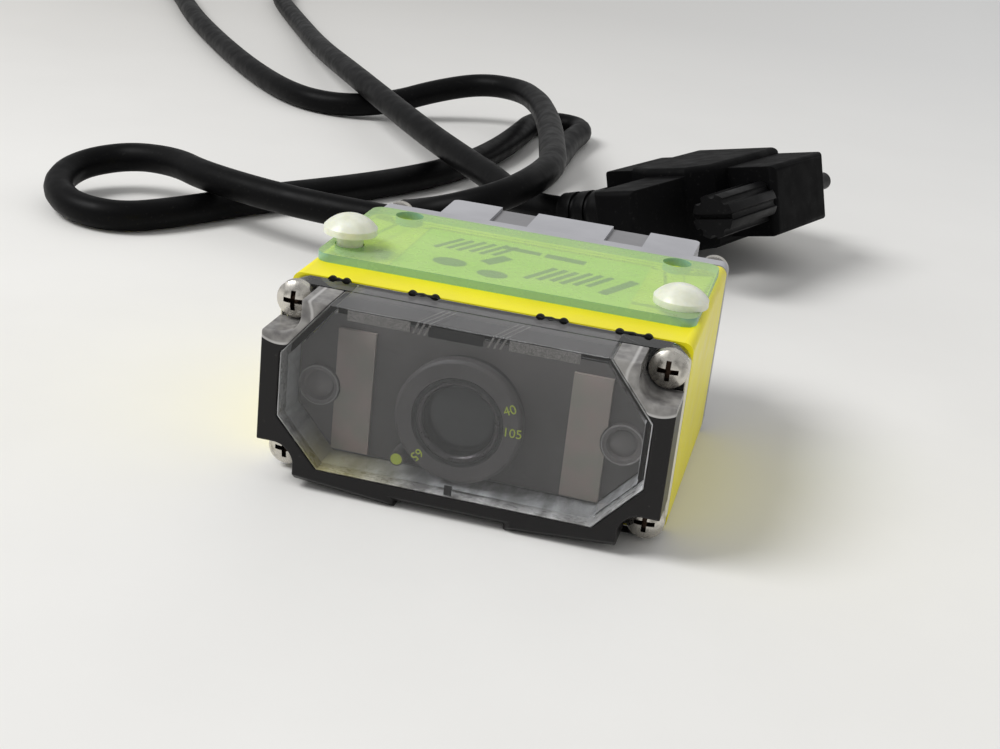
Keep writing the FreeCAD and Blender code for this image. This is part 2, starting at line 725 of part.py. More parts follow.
def build_optics():
    """Inner shroud, its filter strips and lamp lenses, the lens barrel, its lens and the focus dial."""
    baffle_front = front_face + baffle_setback
    lamp_board_front = recess_floor - board_thickness
    body = add_body("light_baffle")
    add_block(body, "XZ_Plane", window_outline(baffle_inset), baffle_front, lamp_board_front - baffle_front)
    hollow_start = baffle_front + baffle_thickness
    hollow = window_outline(baffle_inset + baffle_wall)
    cut_block(body, "XZ_Plane", hollow, hollow_start, lamp_board_front - hollow_start)
    barrel_hole = barrel_radius + baffle_barrel_clearance
    centre = [(lens_axis_x, lens_axis_z)]
    cut_holes(body, "XZ_Plane", centre, barrel_hole, baffle_front, baffle_thickness)
    lamps = [(-led_half_spacing, led_axis_z), (led_half_spacing, led_axis_z)]
    cut_holes(body, "XZ_Plane", lamps, led_dome_radius + lens_clearance, baffle_front, baffle_thickness)

    for side, name in ((-1, "left"), (1, "right")):
        body = add_body(f"filter_strip_{name}")
        inner = strip_inner * side
        outer_edge = strip_outer * side
        left, right = (outer_edge, inner) if side < 0 else (inner, outer_edge)
        strip = rectangle(left, strip_bottom, right, strip_top)
        add_block(body, "XZ_Plane", strip, baffle_front - strip_thickness, strip_thickness)
        rim = led_rim_radius + baffle_clearance
        lamp = [(led_half_spacing * side, led_axis_z)]
        cut_holes(body, "XZ_Plane", lamp, rim, baffle_front - strip_thickness, strip_thickness)

        body = add_body(f"lamp_lens_{name}")
        place(body, led_half_spacing * side, baffle_front, led_axis_z)
        valley = led_dome_radius - led_rim_height / 2
        profile = [
            (baffle_thickness, as_size(0)),
            (baffle_thickness, led_dome_radius),
            (as_size(0), led_dome_radius),
            (as_size(0), led_rim_radius),
            (-led_rim_height, led_rim_radius),
            (-led_rim_height, led_dome_radius),
            (-led_rim_height / 4, valley),
            (-led_rim_height, as_size(0), as_size(dome_radius(valley, led_rim_height * 0.75)), 1),
        ]
        revolve(body, "YZ_Plane", profile, "H_Axis")

    dial_front = front_face + dial_setback
    sensor_front = recess_floor + sensor_board_setback
    barrel_length = sensor_front - dial_front
    seat = lens_setback + lens_thickness
    shoulder = dial_thickness + dial_shoulder_gap
    body = add_body("lens_barrel")
    place(body, lens_axis_x, dial_front, lens_axis_z)
    profile = [
        (as_size(0), barrel_mouth_radius),
        (seat, barrel_mouth_radius),
        (seat, barrel_bore_radius),
        (barrel_length, barrel_bore_radius),
        (barrel_length, barrel_radius),
        (shoulder, barrel_radius),
        (shoulder, barrel_tip_radius),
        (as_size(0), barrel_tip_radius),
    ]
    revolve(body, "YZ_Plane", profile, "H_Axis")

    body = add_body("front_lens")
    place(body, lens_axis_x, dial_front, lens_axis_z)
    rim = barrel_mouth_radius - lens_clearance
    profile = [
        (seat, as_size(0)),
        (seat, rim),
        (seat - lens_edge_thickness, rim),
        (lens_setback, as_size(0), as_size(dome_radius(rim, lens_thickness - lens_edge_thickness)), 1),
    ]
    revolve(body, "YZ_Plane", profile, "H_Axis")

    body = add_body("focus_dial")
    place(body, lens_axis_x, dial_front, lens_axis_z)
    inner = barrel_tip_radius + dial_clearance
    profile = [
        (as_size(0), inner),
        (dial_thickness, inner),
        (dial_thickness, dial_outer_radius),
        (dial_bevel, dial_outer_radius),
        (as_size(0), dial_outer_radius - dial_bevel),
    ]
    revolve(body, "YZ_Plane", profile, "H_Axis")


def build_boards():
    """Lamp board behind the shroud, sensor board, main board and the header between them."""
    board_front = recess_floor - board_thickness
    body = add_body("lamp_board")
    outline = window_outline(cover_wall + board_clearance)
    add_block(body, "XZ_Plane", outline, board_front, board_thickness)
    half = led_chip_side / 2
    for side in (-1, 1):
        x = led_half_spacing * side
        chip = rectangle(x - half, led_axis_z - half, x + half, led_axis_z + half)
        add_block(body, "XZ_Plane", chip, board_front - led_chip_height, led_chip_height)
    centre = [(lens_axis_x, lens_axis_z)]
    cut_holes(body, "XZ_Plane", centre, barrel_radius + board_clearance, board_front, board_thickness)

    half_board = cavity_half_width - board_clearance
    floor = cavity_floor + board_clearance
    roof = housing_height - cavity_roof - board_clearance
    board = rectangle(-half_board, floor, half_board, roof)
    sensor_front = recess_floor + sensor_board_setback
    body = add_body("sensor_board")
    add_block(body, "XZ_Plane", board, sensor_front, board_thickness)
    half_chip = sensor_chip_width / 2
    half_rise = sensor_chip_height / 2
    chip = rectangle(
        lens_axis_x - half_chip, lens_axis_z - half_rise, lens_axis_x + half_chip, lens_axis_z + half_rise
    )
    add_block(body, "XZ_Plane", chip, sensor_front - chip_thickness, chip_thickness)

    header_front = sensor_front + board_thickness
    body = add_body("board_header")
    header = rectangle(-header_width / 2, floor + header_height, header_width / 2, floor + header_height * 2)
    add_block(body, "XZ_Plane", header, header_front, board_gap)

    main_front = header_front + board_gap
    body = add_body("main_board")
    add_block(body, "XZ_Plane", board, main_front, board_thickness)
    half = processor_side / 2
    middle = housing_height / 2
    chip = rectangle(-half, middle - half, half, middle + half)
    add_block(body, "XZ_Plane", chip, main_front + board_thickness, chip_thickness)


def build_rear():
    """Rear seal, rear cover with its boss, four screws and the cable gland."""
    body = add_body("rear_gasket")
    sketch = add_sketch(body, "XZ_Plane", housing_rear)
    inset = gasket_inset
    edge = rounded_rectangle(
        -half_width + inset, inset, half_width - inset, housing_height - inset, housing_edge_radius
    )
    draw_outline(sketch, edge)
    cavity = rectangle(-cavity_half_width, cavity_floor, cavity_half_width, housing_height - cavity_roof)
    draw_outline(sketch, cavity)
    for x, z in four_screw_centres():
        draw_circle(sketch, x, z, screw_shank_radius + screw_hole_clearance)
    extrude(body, sketch, "XZ_Plane", gasket_thickness)

    body = add_body("rear_cover")
    outline = rounded_rectangle(-half_width, as_size(0), half_width, housing_height, housing_edge_radius)
    add_block(body, "XZ_Plane", outline, rear_cover_front, rear_cover_thickness)
    dress_edges(body, "Fillet", rear_edge_radius, lambda edge: lies_at(edge, 1, rear_cover_rear.worth))
    boss_left = boss_centre_x - boss_half_width
    boss_right = boss_centre_x + boss_half_width
    boss_top = housing_height - boss_top_step
    boss = rectangle(boss_left, boss_bottom, boss_right, boss_top)
    add_block(body, "XZ_Plane", boss, rear_cover_front + rear_cover_thickness / 2, rear_cover_thickness / 2 + boss_depth)

    def at_boss_end(edge):
        return lies_at(edge, 1, boss_rear.worth) and runs_along(edge, 2)

    dress_edges(body, "Fillet", boss_edge_radius, at_boss_end)
    half_hollow = cavity_half_width - boss_wall
    hollow = rectangle(-half_hollow, boss_bottom + boss_wall, half_hollow, boss_top - boss_wall)
    cut_block(body, "XZ_Plane", hollow, rear_cover_front, rear_cover_thickness + boss_depth - boss_wall)
    for side in (-1, 1):
        middle = boss_centre_x + boss_slot_offset * side
        half = boss_slot_width / 2
        slot = rectangle(middle - half, rear_cover_rear, middle + half, boss_rear)
        cut_block(body, "XY_Plane", slot, boss_top - boss_slot_depth, boss_slot_depth)
    outlet = [(boss_centre_x, gland_axis_z)]
    outlet_radius = cable_diameter / 2 + outlet_clearance
    cut_holes(body, "XZ_Plane", outlet, outlet_radius, boss_rear - boss_wall, boss_wall)
    hole = screw_shank_radius + screw_hole_clearance
    cut_holes(body, "XZ_Plane", four_screw_centres(), hole, rear_cover_front, rear_cover_thickness)

    body = add_body("cable_gland")
    place(body, boss_centre_x, boss_rear, gland_axis_z)
    build_taper(body, gland_length, gland_base_radius, gland_tip_radius, gland_groove_depth, gland_groove_width, 2)


def build_taper(body, length, base_radius, tip_radius, groove_depth, groove_width, grooves):
    """Tapered sleeve along plus Y with ring grooves."""
    profile = [(as_size(0), as_size(0)), (as_size(0), base_radius)]
    pitch = length / (grooves + 1)
    for number in range(grooves):
        share = (number + 1) / (grooves + 1)
        radius = base_radius * (1 - share) + tip_radius * share
        along = pitch * (number + 1)
        half = groove_width / 2
        profile += [
            (along - half, radius),
            (along - half, radius - groove_depth),
            (along + half, radius - groove_depth),
            (along + half, radius),
        ]
    profile += [(length, tip_radius), (length, as_size(0))]
    profile.reverse()
    revolve(body, "YZ_Plane", profile, "H_Axis")


def build_top():
    """Label, insulating plate and the two plastic screws that hold it."""
    body = add_body("top_label")
    add_block(body, "XY_Plane", label_outline(), housing_height - label_thickness, label_thickness)

    body = add_body("isolation_plate")
    side = half_width - plate_side_margin
    front = housing_front + plate_front_setback
    outline = rounded_rectangle(-side, front, side, front + plate_depth, plate_corner_radius)
    add_block(body, "XY_Plane", outline, housing_height, plate_thickness)
    front_y = housing_front + front_hole_setback
    rear_y = housing_front + rear_hole_setback
    centres = [(-front_hole_half_spacing, front_y), (front_hole_half_spacing, front_y)]
    centres += [(-rear_hole_half_spacing, rear_y), (rear_hole_half_spacing, rear_y)]
    cut_holes(body, "XY_Plane", centres, mount_hole_radius + plate_hole_clearance, housing_height, plate_thickness)

    plate_top = housing_height + plate_thickness
    for side, name, lift in ((-1, "left", nylon_lift_left), (1, "right", as_size(0))):
        body = add_body(f"nylon_screw_{name}")
        place(body, front_hole_half_spacing * side, front_y, plate_top + lift)
        profile = [
            (as_size(0), -nylon_length),
            (nylon_thread_radius, -nylon_length),
            (nylon_thread_radius, as_size(0)),
            (nylon_head_radius, as_size(0)),
            (nylon_head_radius, nylon_head_edge),
            (
                as_size(0),
                nylon_head_height,
                as_size(dome_radius(nylon_head_radius, nylon_head_height - nylon_head_edge)),
                1,
            ),
        ]
        revolve(body, "XZ_Plane", profile, "V_Axis")


def plug_frame():
    """Place of the plug: turned on the floor and leaning on one edge of its block."""
    spot = FreeCAD.Vector(plug_x.worth, plug_y.worth, plug_lift.worth)
    yaw = FreeCAD.Rotation(UP, plug_yaw.worth)
    tilt = FreeCAD.Rotation(FreeCAD.Vector(0, 1, 0), -plug_tilt.worth)
    return FreeCAD.Placement(spot, yaw * tilt)


def shell_outline(inset):
    """D-shaped opening of the plug, wider above than below."""
    inset = as_size(inset)
    middle = plug_height / 2
    top = middle + shell_height / 2 - inset
    bottom = middle - shell_height / 2 + inset
    radius = shell_corner_radius - inset
    wide = shell_half_top - inset
    narrow = shell_half_bottom - inset
    return [
        (-narrow + radius, bottom, radius, 1),
        (narrow - radius, bottom),
        (narrow, bottom + radius, radius, 1),
        (wide, top - radius),
        (wide - radius, top, radius, 1),
        (-wide + radius, top),
        (-wide, top - radius, radius, 1),
        (-narrow, bottom + radius),
    ]


def build_plug():
    """Hood with a cable entry at its side, metal shell, insert, pins and two thumbscrews."""
    block_front = plug_block_start
    block_face = block_front + plug_block_length
    half_block = plug_block_width / 2
    half_body = plug_body_width / 2
    knob_axis_z = plug_height / 2

    body = add_body("plug_hood")
    place_on_plug(body)
    core = [
        (-plug_neck_left, plug_body_start),
        (plug_neck_right, plug_body_start),
        (half_body, plug_body_start + plug_shoulder),
        (half_body, block_face),
        (-half_body, block_face),
        (-half_body, plug_body_start + plug_shoulder),
    ]
    add_block(body, "XY_Plane", core, as_size(0), plug_height)

    def at_core_level(edge):
        return lies_at(edge, 2, 0) or lies_at(edge, 2, plug_height.worth)

    def at_ear_side(edge):
        return lies_at(edge, 0, half_block.worth) or lies_at(edge, 0, -half_block.worth)

    def at_neck_rear(edge):
        return lies_at(edge, 1, plug_neck_start.worth)

    dress_edges(body, "Fillet", plug_edge_radius, at_core_level)
    ears = rectangle(-half_block, block_front, half_block, block_face)
    add_block(body, "XY_Plane", ears, plug_ear_inset, plug_height - plug_ear_inset * 2)
    dress_edges(body, "Fillet", plug_edge_radius, at_ear_side)
    neck = rectangle(-plug_neck_left, plug_neck_start, plug_neck_right, plug_body_start + plug_shoulder)
    add_block(body, "XY_Plane", neck, plug_neck_inset, plug_height - plug_neck_inset * 2)
    dress_edges(body, "Fillet", plug_edge_radius, at_neck_rear)
    stems = [(-knob_half_spacing, knob_axis_z), (knob_half_spacing, knob_axis_z)]
    cut_holes(body, "XZ_Plane", stems, knob_stem_radius + knob_clearance, block_front, plug_block_length)

    body = add_body("plug_strain_relief")
    place_on_plug(body, -plug_neck_left, relief_place_y, relief_place_z, relief_turn)
    build_taper(body, relief_length, relief_base_radius, relief_tip_radius, relief_groove_depth, relief_groove_width, 2)

    body = add_body("plug_shell")
    place_on_plug(body)
    plate = rounded_rectangle(
        -half_block + plug_edge_radius,
        plug_ear_inset + plug_edge_radius / 2,
        half_block - plug_edge_radius,
        plug_height - plug_ear_inset - plug_edge_radius / 2,
        plug_edge_radius,
    )
    add_block(body, "XZ_Plane", plate, block_face, shell_plate_thickness)
    add_block(body, "XZ_Plane", shell_outline(0), block_face, shell_plate_thickness + shell_length)
    cut_block(body, "XZ_Plane", shell_outline(shell_wall), block_face, shell_plate_thickness + shell_length)
    cut_holes(body, "XZ_Plane", stems, knob_stem_radius + knob_clearance, block_face, shell_plate_thickness)

    body = add_body("plug_insert")
    place_on_plug(body)
    insert_depth = shell_plate_thickness + insert_length
    add_block(body, "XZ_Plane", shell_outline(shell_wall), block_face, insert_depth)

    body = add_body("plug_pins")
    place_on_plug(body)
    carrier = block_face + insert_depth
    rows = []
    for row in (-1, 0, 1):
        for place_in_row in range(-2, 3):
            shift = pin_pitch * (place_in_row + 0.25 * row)
            rows.append((shift, knob_axis_z + pin_row_pitch * row))
    sketch = add_sketch(body, "XZ_Plane", carrier)
    for x, z in rows:
        draw_circle(sketch, x, z, pin_radius)
    body.AllowCompound = True
    extrude(body, sketch, "XZ_Plane", pin_length)

    for side, name in ((-1, "left"), (1, "right")):
        body = add_body(f"thumbscrew_{name}")
        place_on_plug(body, knob_half_spacing * side, block_front - knob_gap, knob_axis_z)
        stem_end = knob_gap + plug_block_length + shell_plate_thickness + knob_stem_overhang
        profile = [
            (stem_end, as_size(0)),
            (stem_end, knob_stem_radius),
            (as_size(0), knob_stem_radius),
            (as_size(0), knob_radius),
            (-knob_length, knob_radius),
            (-knob_length, as_size(0)),
        ]
        revolve(body, "YZ_Plane", profile, "H_Axis")
        rim = [(knob_radius.worth * math.cos(a), knob_radius.worth * math.sin(a)) for a in FLUTE_ANGLES]
        cut_holes(body, "XZ_Plane", rim, knob_flute_radius, -knob_length, knob_length)
        half = knob_slot_width / 2
        slot = rectangle(-knob_radius, -half, knob_radius, half)
        cut_block(body, "XZ_Plane", slot, -knob_length, knob_slot_depth)


# Centre line of the cable, from the gland at the reader to the plug.
CABLE_START = (boss_centre_x.worth, (boss_rear + gland_length).worth, gland_axis_z.worth)
CABLE_ROUTE = [
    (1.2, 34.5, 8.0),
    (-4.5, 43.0, 7.8),
    (-15.5, 47.0, 7.7),
    (-28.5, 47.2, 7.6),
    (-46.0, 48.4, 7.5),
    (-63.0, 55.0, 7.1),
    (-71.0, 62.0, 6.6),
    (-80.2, 64.4, 5.6),
    (-86.3, 58.6, 4.4),
    (-85.6, 49.9, 3.2),
    (-79.2, 43.2, 2.5),
    (-71.0, 42.4, 2.35),
    (-65.3, 49.3, 2.35),
    (-58.0, 63.0, 2.35),
    (-46.8, 78.6, 2.35),
    (-39.0, 92.8, 2.35),
    (-34.4, 107.6, 2.35),
    (-32.6, 122.5, 2.35),
    (-32.3, 137.0, 2.35),
    (-32.4, 147.4, 2.35),
    (-27.0, 151.0, 2.35),
    (-21.6, 147.8, 2.35),
    (-22.4, 137.0, 2.35),
    (-21.3, 120.0, 2.35),
    (-20.9, 102.0, 2.35),
    (-23.4, 84.6, 2.35),
    (-28.6, 72.4, 2.8),
    (-32.8, 62.8, 4.4),
    (-30.2, 54.2, 6.8),
    (-22.8, 51.0, 9.6),
    (-15.8, 55.2, 12.0),
    (-13.2, 64.5, 12.9),
    (-13.4, 77.0, 12.3),
    (-16.6, 91.0, 11.1),
    (-20.2, 106.5, 10.3),
    (-24.6, 122.5, 9.6),
    (-29.5, 136.9, 9.0),
    (-35.6, 147.6, 8.6),
    (-44.6, 151.4, 7.9),
    (-53.1, 146.8, 6.0),
    (-60.6, 140.4, 3.4),
    (-69.4, 135.6, 2.35),
    (-80.0, 137.6, 2.35),
    (-94.0, 151.5, 2.35),
    (-112.0, 174.5, 2.35),
    (-134.2, 205.8, 2.35),
    (-153.0, 237.6, 2.35),
    (-167.0, 255.0, 2.35),
    (-168.5, 269.0, 2.35),
    (-159.5, 280.0, 2.35),
    (-145.8, 280.8, 2.35),
    (-136.0, 271.0, 2.35),
    (-129.5, 250.5, 2.35),
    (-108.9, 214.1, 2.7),
    (-90.2, 178.6, 4.6),
    (-70.4, 144.1, 7.3),
    (-57.5, 124.3, 7.8),
    (-42.6, 103.2, 7.8),
    (-30.3, 88.2, 7.5),
    (-23.4, 80.5, 7.3),
    (-15.8, 70.0, 6.5),
]
ARC_SHARE = 0.45


def cable_end():
    """The face of the strain relief where the cable enters the plug."""
    tip = -plug_neck_left.worth - relief_length.worth
    return plug_frame().multVec(FreeCAD.Vector(tip, relief_place_y.worth, relief_place_z.worth))


def cable_path(points):
    """Straight runs joined by tangent arcs, each as large as its two runs allow."""
    edges = []
    radii = []
    last = points[0]
    for number in range(1, len(points) - 1):
        before = points[number - 1] - points[number]
        after = points[number + 1] - points[number]
        reach = ARC_SHARE * min(before.Length, after.Length)
        turn = math.pi - before.getAngle(after)
        radii.append(reach / math.tan(turn / 2))
        to_before = FreeCAD.Vector(before).normalize()
        to_after = FreeCAD.Vector(after).normalize()
        start = points[number] + to_before * reach
        finish = points[number] + to_after * reach
        inward = (to_before + to_after).normalize()
        crown = points[number] + inward * (radii[-1] / math.cos(turn / 2) - radii[-1])
        edges.append(Part.LineSegment(last, start).toShape())
        edges.append(Part.Arc(start, crown, finish).toShape())
        last = finish
    edges.append(Part.LineSegment(last, points[-1]).toShape())
    return Part.Wire(edges), radii


def build_cable():
    """One tube from the reader's gland to the plug."""
    points = [FreeCAD.Vector(*CABLE_START)]
    points += [FreeCAD.Vector(*point) for point in CABLE_ROUTE]
    points.append(cable_end())
    path, radii = cable_path(points)
    radius = cable_diameter.worth / 2
    section = Part.Wire(Part.makeCircle(radius, points[0], points[1] - points[0]))
    tube = path.makePipeShell([section], True, False)
    expected = math.pi * radius ** 2 * path.Length
    print("cable radii", [round(value, 1) for value in radii])
    print("cable length", round(path.Length, 1), "volume ratio", round(tube.Volume / expected, 4))
    cable = DOCUMENT.addObject("Part::Feature", "cable")
    cable.Label = "cable"
    cable.Shape = tube
    cable.Placement = FreeCAD.Placement()
    NODES.append(cable)


def check_and_export():
    """Stop on any fault, then write one STEP file for each node."""
    DOCUMENT.recompute()
    for thing in DOCUMENT.Objects:
        if "Invalid" in thing.State or "Error" in thing.State:
            raise ValueError(f"{thing.Label} did not compute")
    os.makedirs("parts", exist_ok=True)
    for node in NODES:
        if node.Shape.isNull() or not node.Shape.isValid():
            raise ValueError(f"{node.Label} has a bad shape")
        node.Shape.exportStep(f"parts/{node.Label}.step")
        print(node.Label, len(node.Shape.Solids), round(node.Shape.Volume, 2))


build_housing()
build_front_cover()
build_front_frame()
build_front_gasket()
for level, screw_z in (("low", screw_low), ("high", screw_high)):
    for side, sign in (("left", -1), ("right", 1)):
        across = screw_half_spacing * sign
        front = (flange_front, 1, screw_head_radius, screw_head_height)
        rear = (rear_cover_rear, -1, rear_head_radius, rear_head_height)
        build_cover_screw(f"cover_screw_{level}_{side}", across, screw_z, *front)
        build_cover_screw(f"rear_screw_{level}_{side}", across, screw_z, *rear)
build_optics()
build_boards()
build_rear()
build_top()
build_plug()
build_cable()
check_and_export()
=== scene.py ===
import math

import bpy
from mathutils import Matrix, Vector


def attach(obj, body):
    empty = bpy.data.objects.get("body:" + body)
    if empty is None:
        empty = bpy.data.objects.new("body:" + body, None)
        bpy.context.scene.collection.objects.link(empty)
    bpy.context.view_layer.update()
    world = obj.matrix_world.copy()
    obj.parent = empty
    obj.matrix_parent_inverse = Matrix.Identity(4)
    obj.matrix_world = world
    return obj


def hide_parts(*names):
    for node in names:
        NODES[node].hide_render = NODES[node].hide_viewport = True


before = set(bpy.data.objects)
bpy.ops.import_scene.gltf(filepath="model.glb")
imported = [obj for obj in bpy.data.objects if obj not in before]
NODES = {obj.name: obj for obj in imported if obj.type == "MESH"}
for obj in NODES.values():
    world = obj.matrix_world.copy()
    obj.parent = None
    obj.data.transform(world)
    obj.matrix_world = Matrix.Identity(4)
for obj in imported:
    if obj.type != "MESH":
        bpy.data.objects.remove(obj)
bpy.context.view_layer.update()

# A barcode reader with its lead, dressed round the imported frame.
# Places are the frame's, in mm: x across, y from the window to the cable, z up.
MM = 0.001

# The clear cover, its window and what the window shows.
WINDOW_FRONT = -25.0
WINDOW_HALF_WIDTH = 19.0
WINDOW_LOW, WINDOW_TOP = 2.5, 20.5
LOW_CORNER = (4.6, 5.2)
TOP_CORNER = (4.8, 5.9)
SKIN_BACK, SKIN_FRONT = WINDOW_FRONT + 0.2, WINDOW_FRONT + 0.12
FLANGE_EDGE = 20.8
GASKET_FRONT, HOUSING_FRONT = -17.4, -17.0
CLEAR_CORNER_LOW = 17.4
CLEAR_CORNER_RADIUS = 3.5
BAFFLE_FRONT = -20.6
DIAL_FRONT = -23.2
LENS_X, LENS_Z = -0.5, 10.1
LAMP_X, LAMP_Z = 15.9, 10.35
STRIP_LOW, STRIP_HIGH = 3.6, 16.9

# Mouldings along the top edge of the window: ends of the speckled band's two halves, of the block
# between them and of the strips of seal above, and the feet of the ribs.
BAND_ENDS = ((-12.2, -5.8), (4.2, 11.2))
BAND_LOW, BAND_HIGH = 19.25, 20.3
BLOCK_BOX = (-3.9, 19.15, 1.65, 20.2)
NUB_BOX = (-0.8, 2.75, 0.0, 3.85)
RIB_FEET = (-5.6, -5.0, -4.4, 2.0, 2.6, 3.2)
RIB_LOW = 19.2
SEAL_ENDS = ((-16.9, -14.9), (-8.1, -5.5), (5.3, 7.9), (13.3, 16.6))

# The index dot and, by angle and radius, the numbers that turn to it.
INDEX_SPOT = (-6.45, 4.85)
INDEX_FRONT = DIAL_FRONT + 0.1
INDEX_POST_RADIUS, INDEX_DOT_RADIUS = 0.75, 0.6
DIAL_NUMBERS = (("65", 228.0, 5.7), ("40", 25.0, 5.75), ("105", 0.6, 5.7))
NUMBER_HEIGHT = 1.35
NUMBER_THICKNESS = 0.03

# The screws at the corners, with the inside of their driver recess painted dark, as grime and painted shade.
SCREW_X, SCREW_LOW, SCREW_HIGH = 19.2, 2.5, 18.9
FRONT_SCREW_FACE, REAR_SCREW_FACE = -21.6, 14.7
RECESS_RADIUS = 1.12
RECESS_START, RECESS_FULL = 0.24, 0.34

# The top: plate, label and the floors of the rear boss's slots.
PLATE_BOTTOM = 20.5
LABEL_BOX = (-12.95, -10.15, 12.95, 5.75)
LABEL_LOW, LABEL_HIGH = PLATE_BOTTOM - 0.14, PLATE_BOTTOM - 0.06
PRINT_LOW, PRINT_HIGH = PLATE_BOTTOM - 0.05, PLATE_BOTTOM - 0.02
PRINT_SLANT = 66.0
PRINT_BARS = (
    ((10.9, -3.6), 6.4, 1.1, PRINT_SLANT), ((3.6, 3.0), 4.6, 1.3, -4.0),
    ((-1.4, 3.4), 4.2, 1.1, -4.0), ((-3.2, -1.6), 3.6, 1.5, 60.0),
)
PRINT_BLOBS = (((-2.4, -6.6), 1.7), ((-7.6, -5.0), 1.9))
SLOT_FLOOR = 19.8

# The camera fitted to the photograph: place in metres, angles in degrees, lens in mm.
CAMERA_PLACE = (0.0331, -0.1625, 0.0727)
CAMERA_TURN, CAMERA_LIFT, CAMERA_ROLL = 12.1, 21.7, 6.4
FOCAL_LENGTH, SENSOR_WIDTH = 56.5, 36.0
NEAR_CLIP = 0.01

# Floor and light, in metres and watts.
FLOOR_REACH = 30.0
WORLD_STRENGTH = 0.5
KEY_LAMP = {"place": (-0.62, -0.3, 0.8), "target": (0.0, 0.03, 0.0), "size": 0.5, "power": 7.1}
BACK_LAMP = {"place": (0.1, 0.8, 0.7), "target": (0.0, 0.0, 0.0), "size": 0.8, "power": 0.3}

CABLE_DIAMETER = 4.6
CABLE_ROUTE = [
    (1.2, 25, 8), (1.2, 34.5, 8), (-4.5, 43, 7.8), (-15.5, 47, 7.7),
    (-28.5, 47.2, 7.6), (-46, 48.4, 7.5), (-63, 55, 7.1), (-71, 62, 6.6),
    (-80.2, 64.4, 5.6), (-86.3, 58.6, 4.4), (-85.6, 49.9, 3.2), (-79.2, 43.2, 2.5),
    (-71, 42.4, 2.35), (-65.3, 49.3, 2.35), (-58, 63, 2.35), (-46.8, 78.6, 2.35),
    (-39, 92.8, 2.35), (-34.4, 107.6, 2.35), (-32.6, 122.5, 2.35), (-32.3, 137, 2.35),
    (-32.4, 147.4, 2.35), (-27, 151, 2.35), (-21.6, 147.8, 2.35), (-22.4, 137, 2.35),
    (-21.3, 120, 2.35), (-20.9, 102, 2.35), (-23.4, 84.6, 2.35), (-28.6, 72.4, 2.8),
    (-32.8, 62.8, 4.4), (-30.2, 54.2, 6.8), (-22.8, 51, 9.6), (-15.8, 55.2, 12),
    (-13.2, 64.5, 12.9), (-13.4, 77, 12.3), (-16.6, 91, 11.1), (-20.2, 106.5, 10.3),
    (-24.6, 122.5, 9.6), (-29.5, 136.9, 9), (-35.6, 147.6, 8.6), (-44.6, 151.4, 7.9),
    (-53.1, 146.8, 6), (-60.6, 140.4, 3.4), (-69.4, 135.6, 2.35), (-80, 137.6, 2.35),
    (-94, 151.5, 2.35), (-112, 174.5, 2.35), (-134.2, 205.8, 2.35), (-153, 237.6, 2.35),
    (-167, 255, 2.35), (-168.5, 269, 2.35), (-159.5, 280, 2.35), (-145.8, 280.8, 2.35),
    (-136, 271, 2.35), (-129.5, 250.5, 2.35), (-108.9, 214.1, 2.7), (-90.2, 178.6, 4.6),
    (-70.4, 144.1, 7.3), (-57.5, 124.3, 7.8), (-42.6, 103.2, 7.8), (-30.3, 88.2, 7.5),
    (-23.4, 80.5, 7.3), (-15.8, 70, 6.5), (-8.5, 66.67, 7.93),
]


def srgb(red, green, blue):
    """Linear colour of a colour given in screen values from 0 to 255."""
    def linear(value):
        share = value / 255
        return share / 12.92 if share <= 0.04045 else ((share + 0.055) / 1.055) ** 2.4
    return linear(red), linear(green), linear(blue), 1.0


def scaled(colour, share):
    """A colour made darker by one share, or by one for each channel."""
    shares = share if isinstance(share, tuple) else (share,) * 3
    return tuple(part * own for part, own in zip(colour[:3], shares)) + (1.0,)


WHITE = (1.0, 1.0, 1.0, 1.0)
DUST = srgb(150, 148, 145)
# Grime and painted shade for the screws' driver recesses.
GRIME_AND_SHADE = srgb(44, 34, 28)
FRAME_BLACK = srgb(14, 12, 13)
RUBBER_BLACK = srgb(9, 9, 10)
PLUG_BLACK = srgb(11, 11, 12)


